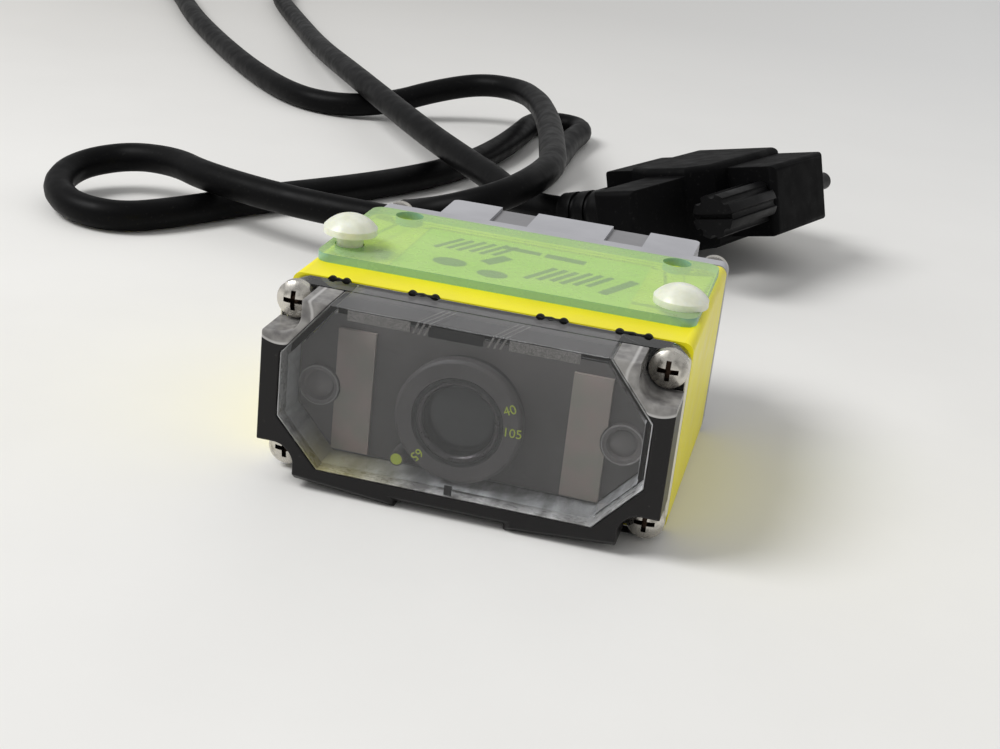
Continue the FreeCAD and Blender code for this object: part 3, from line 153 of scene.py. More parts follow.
class Paint:
    """One procedural material round a Principled shader, measured in millimetres."""

    def __init__(self, name, colour, roughness, **sockets):
        self.material = bpy.data.materials.new(name)
        self.material.use_nodes = True
        self.tree = self.material.node_tree
        self.shader = self.tree.nodes["Principled BSDF"]
        self.output = self.tree.nodes["Material Output"]
        self.surface = self.shader.outputs[0]
        self.tone = colour
        self.shader.inputs["Base Color"].default_value = colour
        self.shader.inputs["Roughness"].default_value = roughness
        for socket, value in sockets.items():
            self.shader.inputs[socket.replace("_", " ")].default_value = value
        place = self.node("ShaderNodeTexCoord").outputs["Object"]
        self.place = self.node("ShaderNodeMapping", Scale=(1 / MM,) * 3, Vector=place).outputs[0]

    def node(self, kind, settings=(), **inputs):
        """A new node, with its inputs set to numbers or linked to sockets."""
        node = self.tree.nodes.new(kind)
        for name, value in dict(settings).items():
            setattr(node, name, value)
        for name, value in inputs.items():
            self.feed(node.inputs[name.replace("_", " ")], value)
        return node

    def feed(self, socket, value):
        """Link another socket to this one, or set it to a number or colour."""
        if isinstance(value, bpy.types.NodeSocket):
            self.tree.links.new(value, socket)
        else:
            socket.default_value = value

    def noise(self, size, detail=3.0, stretch=(1, 1, 1), rough=0.5):
        """Noise whose blotches are about that many millimetres across."""
        scale = tuple(part / size for part in stretch)
        place = self.node("ShaderNodeMapping", Scale=scale, Vector=self.place).outputs[0]
        noise = self.node("ShaderNodeTexNoise", Scale=1.0, Detail=detail, Roughness=rough, Vector=place)
        return noise.outputs[0]

    def ramp(self, source, low, high, first=0.0, last=1.0):
        """Map a value from low..high to first..last."""
        node = self.node("ShaderNodeMapRange", From_Min=low, From_Max=high, To_Min=first, To_Max=last)
        self.feed(node.inputs["Value"], source)
        return node.outputs[0]

    def patches(self, size, detail=3.0, stretch=(1, 1, 1)):
        """Soft patches, from 0 to 1, of about that many millimetres."""
        return self.ramp(self.noise(size, detail, stretch), 0.35, 0.65)

    def math(self, operation, first, second=0.0):
        node = self.node("ShaderNodeMath", {"operation": operation})
        self.feed(node.inputs[0], first)
        self.feed(node.inputs[1], second)
        return node.outputs[0]

    def times(self, first, second):
        return self.math("MULTIPLY", first, second)

    def away(self, value, level):
        """How far a value is from a level, either way."""
        return self.math("ABSOLUTE", self.math("SUBTRACT", value, level))

    def distance(self, across, rise):
        """Length of the line across and up."""
        squares = (self.math("POWER", part, 2.0) for part in (across, rise))
        return self.math("SQRT", self.math("ADD", *squares))

    def blend(self, share, first, second):
        """A colour between two colours."""
        node = self.node("ShaderNodeMix", {"data_type": "RGBA"})
        self.feed(node.inputs[0], share)
        self.feed(node.inputs[6], first)
        self.feed(node.inputs[7], second)
        return node.outputs[2]

    def axis(self, number, source=None):
        """One coordinate of the place, or of another vector."""
        return self.node("ShaderNodeSeparateXYZ", Vector=source or self.place).outputs[number]

    def off_middle(self):
        """Distance from the middle plane, left or right."""
        return self.math("ABSOLUTE", self.axis(0))

    def flatness(self):
        """1 on level faces, 0 on upright ones."""
        normal = self.node("ShaderNodeNewGeometry").outputs["Normal"]
        return self.math("ABSOLUTE", self.axis(2, normal))

    def colour(self, source):
        self.tone = source
        self.feed(self.shader.inputs["Base Color"], source)

    def rough(self, source, low, high):
        self.feed(self.shader.inputs["Roughness"], self.ramp(source, 0.3, 0.7, low, high))

    def bump(self, height, depth):
        """Relief of that many millimetres."""
        node = self.node("ShaderNodeBump", Strength=1.0, Distance=depth * MM, Height=height)
        self.feed(self.shader.inputs["Normal"], node.outputs[0])
        return self

    def mix(self, share, first, second):
        """Show a mix of two shaders."""
        node = self.node("ShaderNodeMixShader", Fac=share)
        self.feed(node.inputs[1], first)
        self.feed(node.inputs[2], second)
        self.surface = node.outputs[0]
        self.feed(self.output.inputs["Surface"], self.surface)
        return self

    def clear(self, tint):
        return self.node("ShaderNodeBsdfTransparent", Color=tint).outputs[0]

    def shadow_ray(self):
        return self.node("ShaderNodeLightPath").outputs["Is Shadow Ray"]

    def light_through(self, tint):
        """Let the lamps reach what lies behind the clear piece."""
        return self.mix(self.shadow_ray(), self.surface, self.clear(tint))


def moulded(name, colour, roughness, grain=0.12, depth=0.012, shade=0.75, dust=0.0, gloss=0.4):
    """Fine-grained moulded plastic or rubber with faint handling marks."""
    paint = Paint(name, colour, roughness, Specular_IOR_Level=gloss)
    tone = paint.blend(paint.patches(9.0, 4.0), scaled(colour, shade), colour)
    if dust:
        specks = paint.ramp(paint.noise(0.5, 6.0), 0.62, 0.7, 0.0, dust)
        tone = paint.blend(specks, tone, DUST)
    paint.colour(tone)
    paint.rough(paint.noise(2.5, 5.0), roughness - 0.07, roughness + 0.08)
    return paint.bump(paint.noise(grain, 2.0), depth)


def inner_plastic(name, colour, roughness, **looks):
    """Smooth moulding that is seen through the window."""
    return moulded(name, colour, roughness, depth=0.0005, **looks)


def plug_plastic(name, roughness, gloss):
    return moulded(name, PLUG_BLACK, roughness, grain=0.1, depth=0.006, dust=0.03, gloss=gloss)


def satin(name, colour, roughness):
    """Satin paint on a casting, with the slight relief of orange peel."""
    paint = Paint(name, colour, roughness, Coat_Weight=0.08, Coat_Roughness=0.2)
    paint.rough(paint.noise(3.0, 5.0), roughness - 0.05, roughness + 0.1)
    return paint.bump(paint.noise(0.35, 3.0), 0.01)


def yellow_paint():
    """Yellow that drifts a little and has a few scuffs."""
    yellow = srgb(252, 240, 20)
    paint = satin("yellow_paint", yellow, 0.4)
    deeper = scaled(yellow, (0.93, 0.9, 0.8))
    tone = paint.blend(paint.patches(12.0), deeper, yellow)
    scuffs = paint.ramp(paint.noise(1.4, 8.0, (1, 4, 1)), 0.68, 0.76, 0.0, 0.35)
    dull = tuple(0.45 * part + 0.25 for part in yellow[:3]) + (1.0,)
    paint.colour(paint.blend(scuffs, tone, dull))
    return paint


def rear_casting():
    """Grey casting with painted shade: darker floors in the two slots of its boss."""
    paint = satin("rear_casting", srgb(172, 172, 177), 0.38)
    floor = paint.math("LESS_THAN", paint.away(paint.axis(2), SLOT_FLOOR), 0.12)
    slot_shade = paint.times(floor, paint.math("GREATER_THAN", paint.flatness(), 0.7))
    tone = paint.blend(paint.patches(9.0), srgb(164, 164, 169), srgb(178, 178, 183))
    # Painted shade on the floors of the slots.
    paint.colour(paint.blend(slot_shade, tone, srgb(128, 127, 130)))
    return paint


def metal(name, colour, roughness, stain=0.35):
    """Plated metal with fine scratches and darker stains."""
    paint = Paint(name, colour, roughness, Metallic=1.0)
    stains = paint.ramp(paint.noise(1.1, 4.0), 0.55, 0.8)
    paint.colour(paint.blend(stains, colour, scaled(colour, stain)))
    paint.rough(paint.noise(0.5, 6.0), roughness - 0.08, roughness + 0.16)
    return paint.bump(paint.noise(0.15, 4.0), 0.008)


def screw_metal(name, face, facing):
    """Plated screw whose driver recess, behind the domed face, is painted dark with grime and shade."""
    paint = metal(name, srgb(206, 202, 194), 0.26)
    across = paint.math("SUBTRACT", paint.off_middle(), SCREW_X)
    rise = paint.axis(2)
    to_screw = paint.math("MINIMUM", paint.away(rise, SCREW_LOW), paint.away(rise, SCREW_HIGH))
    near = paint.math("LESS_THAN", paint.distance(across, to_screw), RECESS_RADIUS)
    depth = paint.times(paint.math("SUBTRACT", paint.axis(1), face), facing)
    inside = paint.times(near, paint.ramp(depth, RECESS_START, RECESS_FULL))
    # Painted shade, with grime, inside the driver recess.
    paint.colour(paint.blend(inside, paint.tone, GRIME_AND_SHADE))
    return paint


def clear_plastic():
    """Water-clear moulding with faint haze and scratches, with a painted highlight on the edges of its
    flange: a pale diffuse face.
    """
    paint = Paint("clear_moulding", srgb(226, 228, 230), 0.03, Transmission_Weight=1.0, IOR=1.49)
    paint.rough(paint.noise(1.2, 8.0), 0.01, 0.05)
    paint.bump(paint.noise(4.0, 2.0), 0.01)
    paint.light_through((0.86, 0.87, 0.88, 1.0))
    # Painted highlight: the flange's edges show as a pale diffuse face.
    edge = paint.ramp(paint.off_middle(), FLANGE_EDGE, FLANGE_EDGE + 0.1)
    edge_highlight = paint.node("ShaderNodeBsdfDiffuse", Color=srgb(236, 232, 214)).outputs[0]
    return paint.mix(edge, paint.surface, edge_highlight)


def green_plate():
    """Translucent green sheet, deeper and bluer at its cut edges, clear on its underside."""
    paint = Paint("green_sheet", srgb(188, 222, 150), 0.3, Specular_IOR_Level=0.5)
    flat = paint.ramp(paint.flatness(), 0.3, 0.8)
    tone = paint.blend(paint.patches(7.0, 4.0), srgb(180, 210, 154), srgb(190, 215, 163))
    paint.colour(paint.blend(flat, srgb(136, 180, 160), tone))
    paint.rough(paint.noise(2.0, 5.0), 0.22, 0.36)
    paint.bump(paint.noise(0.6, 3.0), 0.006)
    body = paint.ramp(flat, 0.0, 1.0, 0.85, 0.62)
    above = paint.math("GREATER_THAN", paint.axis(2), PLATE_BOTTOM + 0.03)
    unlit = paint.math("SUBTRACT", 1.0, paint.shadow_ray())
    share = paint.times(paint.times(body, above), unlit)
    return paint.mix(share, paint.clear((0.88, 1.0, 0.7, 1.0)), paint.surface)


def nylon():
    """Natural nylon, slightly see-through."""
    paint = Paint(
        "natural_nylon", srgb(232, 234, 218), 0.32, Subsurface_Weight=0.5,
        Subsurface_Radius=(1.0, 0.9, 0.6), Subsurface_Scale=0.6 * MM,
    )
    paint.colour(paint.blend(paint.patches(1.5, 4.0), srgb(222, 224, 206), srgb(236, 238, 224)))
    return paint.bump(paint.noise(0.5, 3.0), 0.008)


def glass():
    """Dark coated lens."""
    paint = Paint("coated_glass", srgb(70, 74, 80), 0.02, Transmission_Weight=1.0, IOR=1.45)
    paint.rough(paint.noise(0.8, 5.0), 0.01, 0.04)
    return paint.light_through((0.8, 0.82, 0.85, 1.0))


def filter_strip():
    """Beige-grey film with faint pink and green tints, paler towards its top."""
    paint = Paint("filter_film", srgb(128, 120, 112), 0.35)
    tint = paint.blend(paint.patches(3.0), srgb(132, 128, 116), srgb(150, 130, 124))
    height = paint.ramp(paint.axis(2), STRIP_LOW, STRIP_HIGH)
    paint.colour(paint.blend(paint.times(height, 0.4), tint, srgb(158, 148, 138)))
    paint.rough(paint.noise(1.0, 4.0), 0.28, 0.42)
    return paint.bump(paint.noise(0.3, 3.0), 0.006)


def frame_plastic():
    """Black frame whose top and two upper corners round the screws are smoky clear, with a painted highlight
    along the rim of each corner.
    """
    paint = Paint("frame_plastic", FRAME_BLACK, 0.3, Specular_IOR_Level=0.3)
    across = paint.math("SUBTRACT", paint.off_middle(), SCREW_X)
    reach = paint.distance(across, paint.math("SUBTRACT", paint.axis(2), SCREW_HIGH))
    near = paint.math("LESS_THAN", reach, CLEAR_CORNER_RADIUS)
    high = paint.math("GREATER_THAN", paint.axis(2), CLEAR_CORNER_LOW)
    clear = paint.math("MAXIMUM", near, high)
    # Painted highlight: a pale line along the rim of each clear corner.
    rim = paint.ramp(paint.away(reach, CLEAR_CORNER_RADIUS - 0.1), 0.05, 0.22, 1.0, 0.0)
    smoky = paint.blend(paint.patches(1.6, 5.0), srgb(106, 104, 103), srgb(150, 148, 145))
    smoky = paint.blend(paint.times(rim, 0.7), smoky, srgb(196, 194, 192))
    dust = paint.ramp(paint.noise(0.5, 6.0), 0.64, 0.72, 0.0, 0.06)
    paint.colour(paint.blend(clear, paint.blend(dust, FRAME_BLACK, DUST), smoky))
    paint.feed(paint.shader.inputs["Roughness"], paint.ramp(clear, 0.0, 1.0, 0.32, 0.1))
    return paint.bump(paint.noise(0.15, 2.0), 0.006)


def painted_wall_light():
    """Painted light inside the clear cover's walls: pale and streaky, paler on the side walls, yellowish at
    the lower left.
    """
    paint = Paint("painted_wall_light", srgb(158, 156, 154), 0.3)
    streaks = paint.patches(1.8, 5.0, (1, 0.3, 1))
    grey = paint.blend(streaks, srgb(128, 125, 123), srgb(208, 206, 204))
    pale = paint.blend(streaks, srgb(214, 212, 210), srgb(252, 251, 250))
    # Painted light: the side walls are made paler than the rest.
    side_light = paint.ramp(paint.off_middle(), WINDOW_HALF_WIDTH - 1.0, WINDOW_HALF_WIDTH - 0.4)
    tone = paint.blend(side_light, grey, pale)
    left = paint.ramp(paint.axis(0), -14.0, -4.0, 1.0, 0.0)
    low = paint.ramp(paint.axis(2), 4.0, 6.0, 1.0, 0.0)
    paint.colour(paint.blend(paint.times(paint.times(left, low), 0.65), tone, srgb(190, 178, 96)))
    paint.rough(paint.noise(0.8, 4.0), 0.2, 0.4)
    return paint.bump(streaks, 0.03)


def board():
    """Green solder mask with faint tracks."""
    paint = Paint("solder_mask", srgb(22, 84, 52), 0.35)
    tracks = paint.node("ShaderNodeTexBrick", Scale=0.6, Mortar_Size=0.03, Vector=paint.place).outputs["Fac"]
    paint.colour(paint.blend(tracks, srgb(20, 78, 50), srgb(60, 120, 70)))
    paint.rough(paint.noise(1.0, 4.0), 0.3, 0.4)
    return paint.bump(tracks, 0.02)


def speckled():
    """Dark band full of fine pale grains."""
    paint = Paint("speckled_band", srgb(70, 69, 70), 0.6)
    grains = paint.ramp(paint.noise(0.07, 3.0, rough=0.7), 0.4, 0.62)
    paint.colour(paint.blend(grains, srgb(92, 90, 88), srgb(158, 154, 150)))
    paint.rough(paint.noise(0.4, 4.0), 0.5, 0.7)
    return paint.bump(paint.noise(0.08, 3.0), 0.01)


def label_film():
    """Brushed film, yellow as the green plate shows it."""
    paint = Paint("label_film", srgb(232, 226, 104), 0.4)
    brushed = paint.noise(0.6, 6.0, (0.15, 6, 1))
    share = paint.ramp(brushed, 0.35, 0.65)
    paint.colour(paint.blend(share, srgb(226, 222, 96), srgb(236, 230, 110)))
    paint.rough(paint.noise(1.0, 4.0), 0.3, 0.42)
    return paint.bump(brushed, 0.003)


def floor_card():
    """Pale floor with painted shade: a little darker behind the reader and darkest at the back left."""
    paint = Paint("floor_card", srgb(238, 237, 234), 0.8)
    mottle = paint.ramp(paint.noise(40.0, 5.0), 0.3, 0.7)
    near = paint.blend(mottle, srgb(235, 234, 231), srgb(240, 239, 236))
    to_right = paint.ramp(paint.axis(0), -160.0, 60.0)
    # Painted shade: darker behind the reader and darkest at the back left.
    behind = paint.blend(to_right, srgb(198, 196, 192), srgb(226, 226, 225))
    paint.colour(paint.blend(paint.ramp(paint.axis(1), 40.0, 320.0), near, behind))
    return paint


PAINTS = {
    "housing": yellow_paint(),
    "front_cover": clear_plastic(),
    "front_frame": frame_plastic(),
    "painted_wall_light": painted_wall_light(),
    "seal": moulded("seal_rubber", srgb(24, 24, 24), 0.7),
    "cover_screw": screw_metal("front_screw_metal", FRONT_SCREW_FACE, 1.0),
    "rear_screw": screw_metal("rear_screw_metal", REAR_SCREW_FACE, -1.0),
    "baffle": inner_plastic("shroud_plastic", srgb(80, 75, 73), 0.6),
    "filter_strip": filter_strip(),
    "lamp_lens": inner_plastic("lamp_plastic", srgb(104, 98, 96), 0.15),
    # Pale ring of the lamp domes, a painted highlight.
    "lamp_rim_highlight": inner_plastic("lamp_rim_highlight", srgb(142, 137, 135), 0.25),
    "barrel": inner_plastic("anodised_barrel", srgb(8, 7, 8), 0.4, gloss=0.25),
    "lens_ring": metal("black_anodised_ring", srgb(74, 70, 71), 0.3, stain=0.7),
    "glass": glass(),
    "dial": inner_plastic("dial_plastic", srgb(76, 71, 70), 0.5),
    "board": board(),
    "header": moulded("header_plastic", srgb(28, 28, 29), 0.5),
    "rear_cover": rear_casting(),
    "cable": moulded("cable_jacket", RUBBER_BLACK, 0.45, grain=0.3, depth=0.002, dust=0.02, gloss=0.08),
    "relief": moulded("relief_rubber", RUBBER_BLACK, 0.45, gloss=0.12),
    "label": label_film(),
    "plate": green_plate(),
    "nylon": nylon(),
    "plug": plug_plastic("plug_plastic", 0.6, 0.06),
    "knob": plug_plastic("knob_plastic", 0.45, 0.14),
    "plug_steel": metal("nickel_plate", srgb(205, 203, 198), 0.25, stain=0.6),
    "insert": moulded("insert_plastic", srgb(24, 34, 66), 0.45),
    "gold": metal("gold_flash", srgb(214, 176, 92), 0.25, stain=0.7),
    "speckled": speckled(),
    "insert_black": moulded("block_plastic", srgb(20, 19, 20), 0.5),
    "ink": moulded("label_ink", srgb(28, 66, 84), 0.5),
    "mark": moulded("dial_mark", srgb(186, 200, 60), 0.5, shade=0.85),
}

NODE_PAINTS = {
    "housing": "housing", "front_cover": "front_cover", "front_frame": "front_frame",
    "front_gasket": "seal", "light_baffle": "baffle", "filter_strip_left": "filter_strip",
    "filter_strip_right": "filter_strip", "lamp_lens_left": "lamp_lens", "lamp_lens_right": "lamp_lens",
    "lens_barrel": "barrel", "front_lens": "glass", "focus_dial": "dial", "lamp_board": "board",
    "sensor_board": "board", "board_header": "header", "main_board": "board", "rear_gasket": "seal",
    "rear_cover": "rear_cover", "cable_gland": "relief", "top_label": "label", "isolation_plate": "plate",
    "nylon_screw_left": "nylon", "nylon_screw_right": "nylon", "plug_hood": "plug",
    "plug_strain_relief": "relief", "plug_shell": "plug_steel", "plug_insert": "insert",
    "plug_pins": "gold", "thumbscrew_left": "knob", "thumbscrew_right": "knob", "cable": "cable",
}
for level in ("low", "high"):
    for side in ("left", "right"):
        NODE_PAINTS[f"cover_screw_{level}_{side}"] = "cover_screw"
        NODE_PAINTS[f"rear_screw_{level}_{side}"] = "rear_screw"

# Width in mm of the softened edges of each node.
SOFT_EDGES = {
    "housing": 0.25, "front_cover": 0.12, "front_frame": 0.18, "rear_cover": 0.2, "isolation_plate": 0.12,
    "plug_hood": 0.3, "thumbscrew_left": 0.15, "thumbscrew_right": 0.15, "focus_dial": 0.08,
    "cable_gland": 0.12, "plug_strain_relief": 0.12, "light_baffle": 0.12, "plug_shell": 0.08,
}
SHARP_ANGLE = 35.0


def soften(piece, width):
    """Join the mesh's split corners and round its edges a little."""
    weld = piece.modifiers.new("join", "WELD")
    weld.merge_threshold = 0.001 * MM
    bevel = piece.modifiers.new("edges", "BEVEL")
    bevel.width = width * MM
    bevel.segments = 2
    bevel.limit_method = "ANGLE"
    bevel.angle_limit = math.radians(SHARP_ANGLE)
    bevel.use_clamp_overlap = True
    bevel.harden_normals = False


def dress_nodes():
    """Give every node of the frame its material, and soften the edges that show."""
    for name, paint in NODE_PAINTS.items():
        materials = NODES[name].data.materials
        materials.clear()
        materials.append(PAINTS[paint].material)
    for name, width in SOFT_EDGES.items():
        soften(NODES[name], width)


def add_piece(name, points, faces, paint):
    """A mesh piece from points in millimetres, riding on the reader."""
    mesh = bpy.data.meshes.new(name)
    mesh.from_pydata([[part * MM for part in point] for point in points], [], faces)
    mesh.update()
    piece = bpy.data.objects.new(name, mesh)
    bpy.context.scene.collection.objects.link(piece)
    mesh.materials.append(PAINTS[paint].material)
    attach(piece, "reader")
    return piece


def prism(outline, start, end, place):
    """Points and faces of an outline drawn anticlockwise and pushed from start to end."""
    count = len(outline)
    points = [place(u, v, start) for u, v in outline] + [place(u, v, end) for u, v in outline]
    faces = [list(range(count))[::-1], list(range(count, count * 2))]
    faces += [[n, (n + 1) % count, count + (n + 1) % count, count + n] for n in range(count)]
    return points, faces


def join(parts):
    """Several prisms in one list of points and faces."""
    points, faces = [], []
    for some_points, some_faces in parts:
        start = len(points)
        points += some_points
        faces += [[start + corner for corner in face] for face in some_faces]
    return points, faces


def facing_front(u, v, y):
    """Place of a drawing's point on an upright plane that faces the front."""
    return u, y, v


def facing_up(u, v, height):
    """Place of a drawing's point on a level plane."""
    return u, v, height


def box_outline(left, low, right, high):
    return [(left, low), (right, low), (right, high), (left, high)]


def slanted(centre, length, width, angle):
    """Outline of a bar turned by an angle in degrees."""
    turn = Matrix.Rotation(math.radians(angle), 2)
    corners = [Vector((u * length / 2, v * width / 2)) for u, v in box_outline(-1, -1, 1, 1)]
    return [tuple(Vector(centre) + turn @ corner) for corner in corners]


def round_outline(centre, radius, count=24, squash=1.0):
    """Outline of a circle, or of an oval squashed in its second direction."""
    turns = [2 * math.pi * n / count for n in range(count)]
    return [
        (centre[0] + radius * math.cos(turn), centre[1] + squash * radius * math.sin(turn)) for turn in turns
    ]


def add_camera():
    """The photograph's view: from the right and above, rolled a little."""
    turn, lift, roll = (math.radians(angle) for angle in (CAMERA_TURN, CAMERA_LIFT, CAMERA_ROLL))
    back = Vector((math.sin(turn) * math.cos(lift), -math.cos(turn) * math.cos(lift), math.sin(lift)))
    right = Vector((math.cos(turn), math.sin(turn), 0.0))
    up = back.cross(right)
    across = right * math.cos(roll) + up * math.sin(roll)
    upward = up * math.cos(roll) - right * math.sin(roll)
    data = bpy.data.cameras.new("camera")
    data.sensor_width = SENSOR_WIDTH
    data.lens = FOCAL_LENGTH
    data.clip_start = NEAR_CLIP
    camera = bpy.data.objects.new("camera", data)
    turned = Matrix((across, upward, back)).transposed().to_4x4()
    camera.matrix_world = Matrix.Translation(CAMERA_PLACE) @ turned
    bpy.context.scene.collection.objects.link(camera)
    bpy.context.scene.camera = camera


def add_cable():
    """The lead from the gland to the plug, on one smooth line through its route."""
    curve = bpy.data.curves.new("lead", "CURVE")
    curve.dimensions = "3D"
    curve.resolution_u = 10
    curve.bevel_depth = CABLE_DIAMETER / 2 * MM
    curve.bevel_resolution = 6
    curve.use_fill_caps = True
    line = curve.splines.new("NURBS")
    line.points.add(len(CABLE_ROUTE) - 1)
    for point, place in zip(line.points, CABLE_ROUTE):
        point.co = [part * MM for part in place] + [1.0]
    line.order_u = 3
    line.use_endpoint_u = True
    curve.materials.append(PAINTS["cable"].material)
    cable = bpy.data.objects.new("lead", curve)
    bpy.context.scene.collection.objects.link(cable)
    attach(cable, "reader")
    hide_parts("cable")


def add_dial_marks():
    """Numbers that read outwards round the focus dial, and the dot that they turn to."""
    for number, angle, reach in DIAL_NUMBERS:
        words = bpy.data.curves.new(f"dial_number_{number}", "FONT")
        words.body = number
        words.size = NUMBER_HEIGHT * MM
        words.extrude = NUMBER_THICKNESS * MM
        words.align_x = "CENTER"
        words.align_y = "CENTER"
        words.materials.append(PAINTS["mark"].material)
        mark = bpy.data.objects.new(f"dial_number_{number}", words)
        turn = math.radians(angle)
        across, rise = reach * math.cos(turn), reach * math.sin(turn)
        spot = Vector((LENS_X + across, DIAL_FRONT - 0.02, LENS_Z + rise)) * MM
        upright = Matrix.Rotation(math.pi / 2, 4, "X")
        mark.matrix_world = Matrix.Translation(spot) @ Matrix.Rotation(-turn, 4, "Y") @ upright
        bpy.context.scene.collection.objects.link(mark)
        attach(mark, "dial")
    outline = round_outline(INDEX_SPOT, INDEX_POST_RADIUS)
    points, faces = prism(outline, BAFFLE_FRONT, INDEX_FRONT, facing_front)
    add_piece("index_post", points, faces, "baffle")
    outline = round_outline(INDEX_SPOT, INDEX_DOT_RADIUS)
    points, faces = prism(outline, INDEX_FRONT, INDEX_FRONT - 0.04, facing_front)
    add_piece("index_dot", points, faces, "mark")


def window_corners(inset):
    """Corners (x, z) of the eight-sided window moved inwards, from the lower left, anticlockwise."""
    def shifts(across, rise):
        return math.tan(math.atan2(rise, across) / 2), math.tan(math.atan2(across, rise) / 2)

    low_level, low_upright = shifts(*LOW_CORNER)
    top_level, top_upright = shifts(*TOP_CORNER)
    side_x = WINDOW_HALF_WIDTH - inset
    low_x = WINDOW_HALF_WIDTH - LOW_CORNER[0] - inset * low_level
    top_x = WINDOW_HALF_WIDTH - TOP_CORNER[0] - inset * top_level
    low_z, top_z = WINDOW_LOW + inset, WINDOW_TOP - inset
    side_low = WINDOW_LOW + LOW_CORNER[1] + inset * low_upright
    side_high = WINDOW_TOP - TOP_CORNER[1] - inset * top_upright
    return [
        (-low_x, low_z), (low_x, low_z), (side_x, side_low), (side_x, side_high),
        (top_x, top_z), (-top_x, top_z), (-side_x, side_high), (-side_x, side_low),
    ]


def add_wall_light():
    """Pale faces inside the clear cover's side and lower walls, painted with the light that those walls
    show.
    """
    outer, inner = window_corners(0.1), window_corners(0.16)
    order = [5, 6, 7, 0, 1, 2, 3, 4]
    outline = [outer[n] for n in order] + [inner[n] for n in reversed(order)]
    points, faces = prism(outline, BAFFLE_FRONT + 0.4, SKIN_FRONT, facing_front)
    faces = faces[2:]
    total = len(outline)
    for n in range(len(order) - 1):
        quad = [n, n + 1, total - 2 - n, total - 1 - n]
        faces.append(quad[::-1])
        faces.append([total + corner for corner in quad])
    add_piece("cover_wall_light", points, faces, "painted_wall_light")


def add_top_band():
    """Mouldings of the cover's front: speckled band, dark block and ribs above, a nub below."""
    def on_face(outline):
        return prism(outline, SKIN_BACK, SKIN_FRONT, facing_front)

    band = [box_outline(left, BAND_LOW, right, BAND_HIGH) for left, right in BAND_ENDS]
    points, faces = join([on_face(outline) for outline in band])
    add_piece("speckled_band", points, faces, "speckled")
    points, faces = on_face(box_outline(*BLOCK_BOX))
    add_piece("window_block", points, faces, "insert_black")
    ribs = []
    rib_end = BAFFLE_FRONT + 0.2
    for foot in RIB_FEET:
        ribs.append(on_face([
            (foot, RIB_LOW), (foot + 0.22, RIB_LOW), (foot + 0.72, BAND_HIGH), (foot + 0.5, BAND_HIGH),
        ]))
        along_top = [
            (foot + 0.5, SKIN_BACK), (foot + 0.62, SKIN_BACK), (foot + 2.0, rib_end), (foot + 1.88, rib_end),
        ]
        ribs.append(prism(along_top, WINDOW_TOP - 0.14, WINDOW_TOP - 0.08, facing_up))
    points, faces = join(ribs)
    add_piece("window_ribs", points, faces, "speckled")
    points, faces = on_face(box_outline(*NUB_BOX))
    add_piece("window_nub", points, faces, "insert_black")


def ring_faces(loops, count):
    """Faces between loops of points, the last loop joined to the first."""
    faces = []
    for loop in range(loops):
        here, there = loop * count, (loop + 1) % loops * count
        for n in range(count):
            m = (n + 1) % count
            faces.append([here + n, there + n, there + m, here + m])
    return faces


def add_lens_ring():
    """Conical retaining ring in the mouth of the lens barrel."""
    count = 72
    outer, inner = 4.25, 3.75
    profile = ((outer, 0.06), (inner, 0.55), (inner, 0.62), (outer, 0.62))
    points = []
    for radius, depth in profile:
        points += [(u, DIAL_FRONT + depth, v) for u, v in round_outline((LENS_X, LENS_Z), radius, count)]
    ring = add_piece("lens_ring", points, ring_faces(len(profile), count), "lens_ring")
    for face in ring.data.polygons:
        face.use_smooth = face.index < count


def add_lamp_rim_highlights():
    """Thin pale ring round each lamp dome, a painted highlight on the dome's edge."""
    count = 40
    outer, inner = 2.16, 2.02
    back, front = BAFFLE_FRONT - 0.5, BAFFLE_FRONT - 0.62
    for side, name in ((-1, "left"), (1, "right")):
        points = []
        for radius, y in ((outer, back), (inner, back), (inner, front), (outer, front)):
            points += [(u, y, v) for u, v in round_outline((LAMP_X * side, LAMP_Z), radius, count)]
        add_piece(f"lamp_rim_highlight_{name}", points, ring_faces(4, count), "lamp_rim_highlight")


def add_seal_strips():
    """Squeezed-out seal between the pairs of tabs along the cover's top edge."""
    strips = []
    for left, right in SEAL_ENDS:
        middle = (left + right) / 2
        outline = [
            (left, 20.2), (right, 20.2), (right - 0.2, 20.62), (middle + 0.3, 20.56), (middle - 0.1, 20.66),
            (left + 0.5, 20.58), (left + 0.1, 20.68),
        ]
        strips.append(prism(outline, HOUSING_FRONT - 0.02, GASKET_FRONT + 0.02, facing_front))
    points, faces = join(strips)
    add_piece("seal_strips", points, faces, "seal")


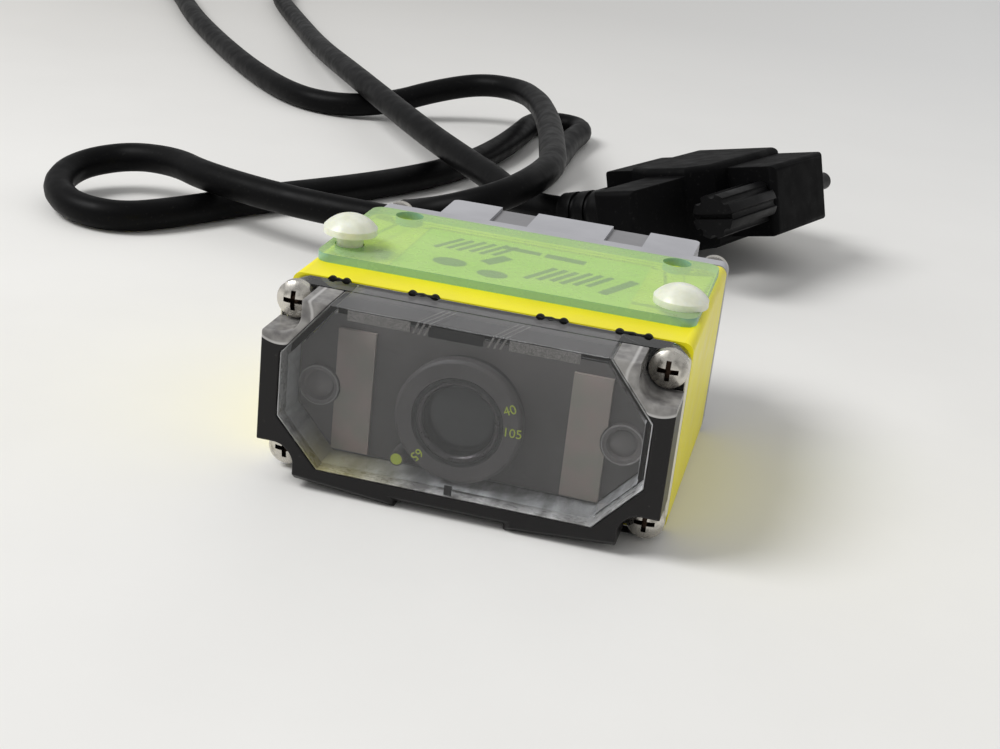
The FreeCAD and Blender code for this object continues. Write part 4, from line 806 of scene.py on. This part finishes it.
def print_outlines():
    """Generic print: two groups of slanted bars, single bars, and two oval blobs."""
    outlines = []
    for row in range(6):
        centre = (2.2 + 1.3 * row, -3.4 + 0.12 * row)
        outlines.append(slanted(centre, 5.6 - 0.45 * (row % 3), 0.6, PRINT_SLANT))
        centre = (-9.6 + 1.3 * row, 1.6 + 0.1 * row)
        outlines.append(slanted(centre, 5.0 - 0.5 * (row % 2), 0.55, PRINT_SLANT))
    outlines += [slanted(*bar) for bar in PRINT_BARS]
    outlines += [round_outline(centre, radius, 28, squash=0.7) for centre, radius in PRINT_BLOBS]
    return outlines


def add_label():
    """Thin film under the plate, with its print."""
    points, faces = prism(box_outline(*LABEL_BOX), LABEL_LOW, LABEL_HIGH, facing_up)
    film = add_piece("label", points, faces, "label")
    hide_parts("top_label")
    points, faces = join([prism(outline, PRINT_LOW, PRINT_HIGH, facing_up) for outline in print_outlines()])
    add_piece("label_print", points, faces, "ink")


def add_stage():
    """A floor that reaches past every horizon."""
    mesh = bpy.data.meshes.new("floor")
    corners = box_outline(-FLOOR_REACH, -FLOOR_REACH, FLOOR_REACH, FLOOR_REACH)
    mesh.from_pydata([(x, y, 0.0) for x, y in corners], [], [(0, 1, 2, 3)])
    mesh.materials.append(floor_card().material)
    floor = bpy.data.objects.new("floor", mesh)
    bpy.context.scene.collection.objects.link(floor)


def add_lamp(name, place, target, size, power):
    """A round area lamp aimed at a target."""
    data = bpy.data.lights.new(name, "AREA")
    data.shape = "DISK"
    data.size = size
    data.energy = power
    lamp = bpy.data.objects.new(name, data)
    lamp.location = place
    lamp.rotation_euler = (Vector(target) - Vector(place)).to_track_quat("-Z", "Y").to_euler()
    bpy.context.scene.collection.objects.link(lamp)


def add_light():
    """White surroundings, a broad key lamp at the left and a weak one behind."""
    world = bpy.data.worlds.new("studio")
    bpy.context.scene.world = world
    world.use_nodes = True
    shade = world.node_tree.nodes["Background"]
    shade.inputs["Color"].default_value = WHITE
    shade.inputs["Strength"].default_value = WORLD_STRENGTH
    add_lamp("key", **KEY_LAMP)
    add_lamp("back", **BACK_LAMP)


dress_nodes()
add_camera()
add_cable()
add_dial_marks()
add_wall_light()
add_top_band()
add_lens_ring()
add_seal_strips()
add_lamp_rim_highlights()
add_label()
add_stage()
add_light()
bpy.context.scene.view_settings.view_transform = "Standard"
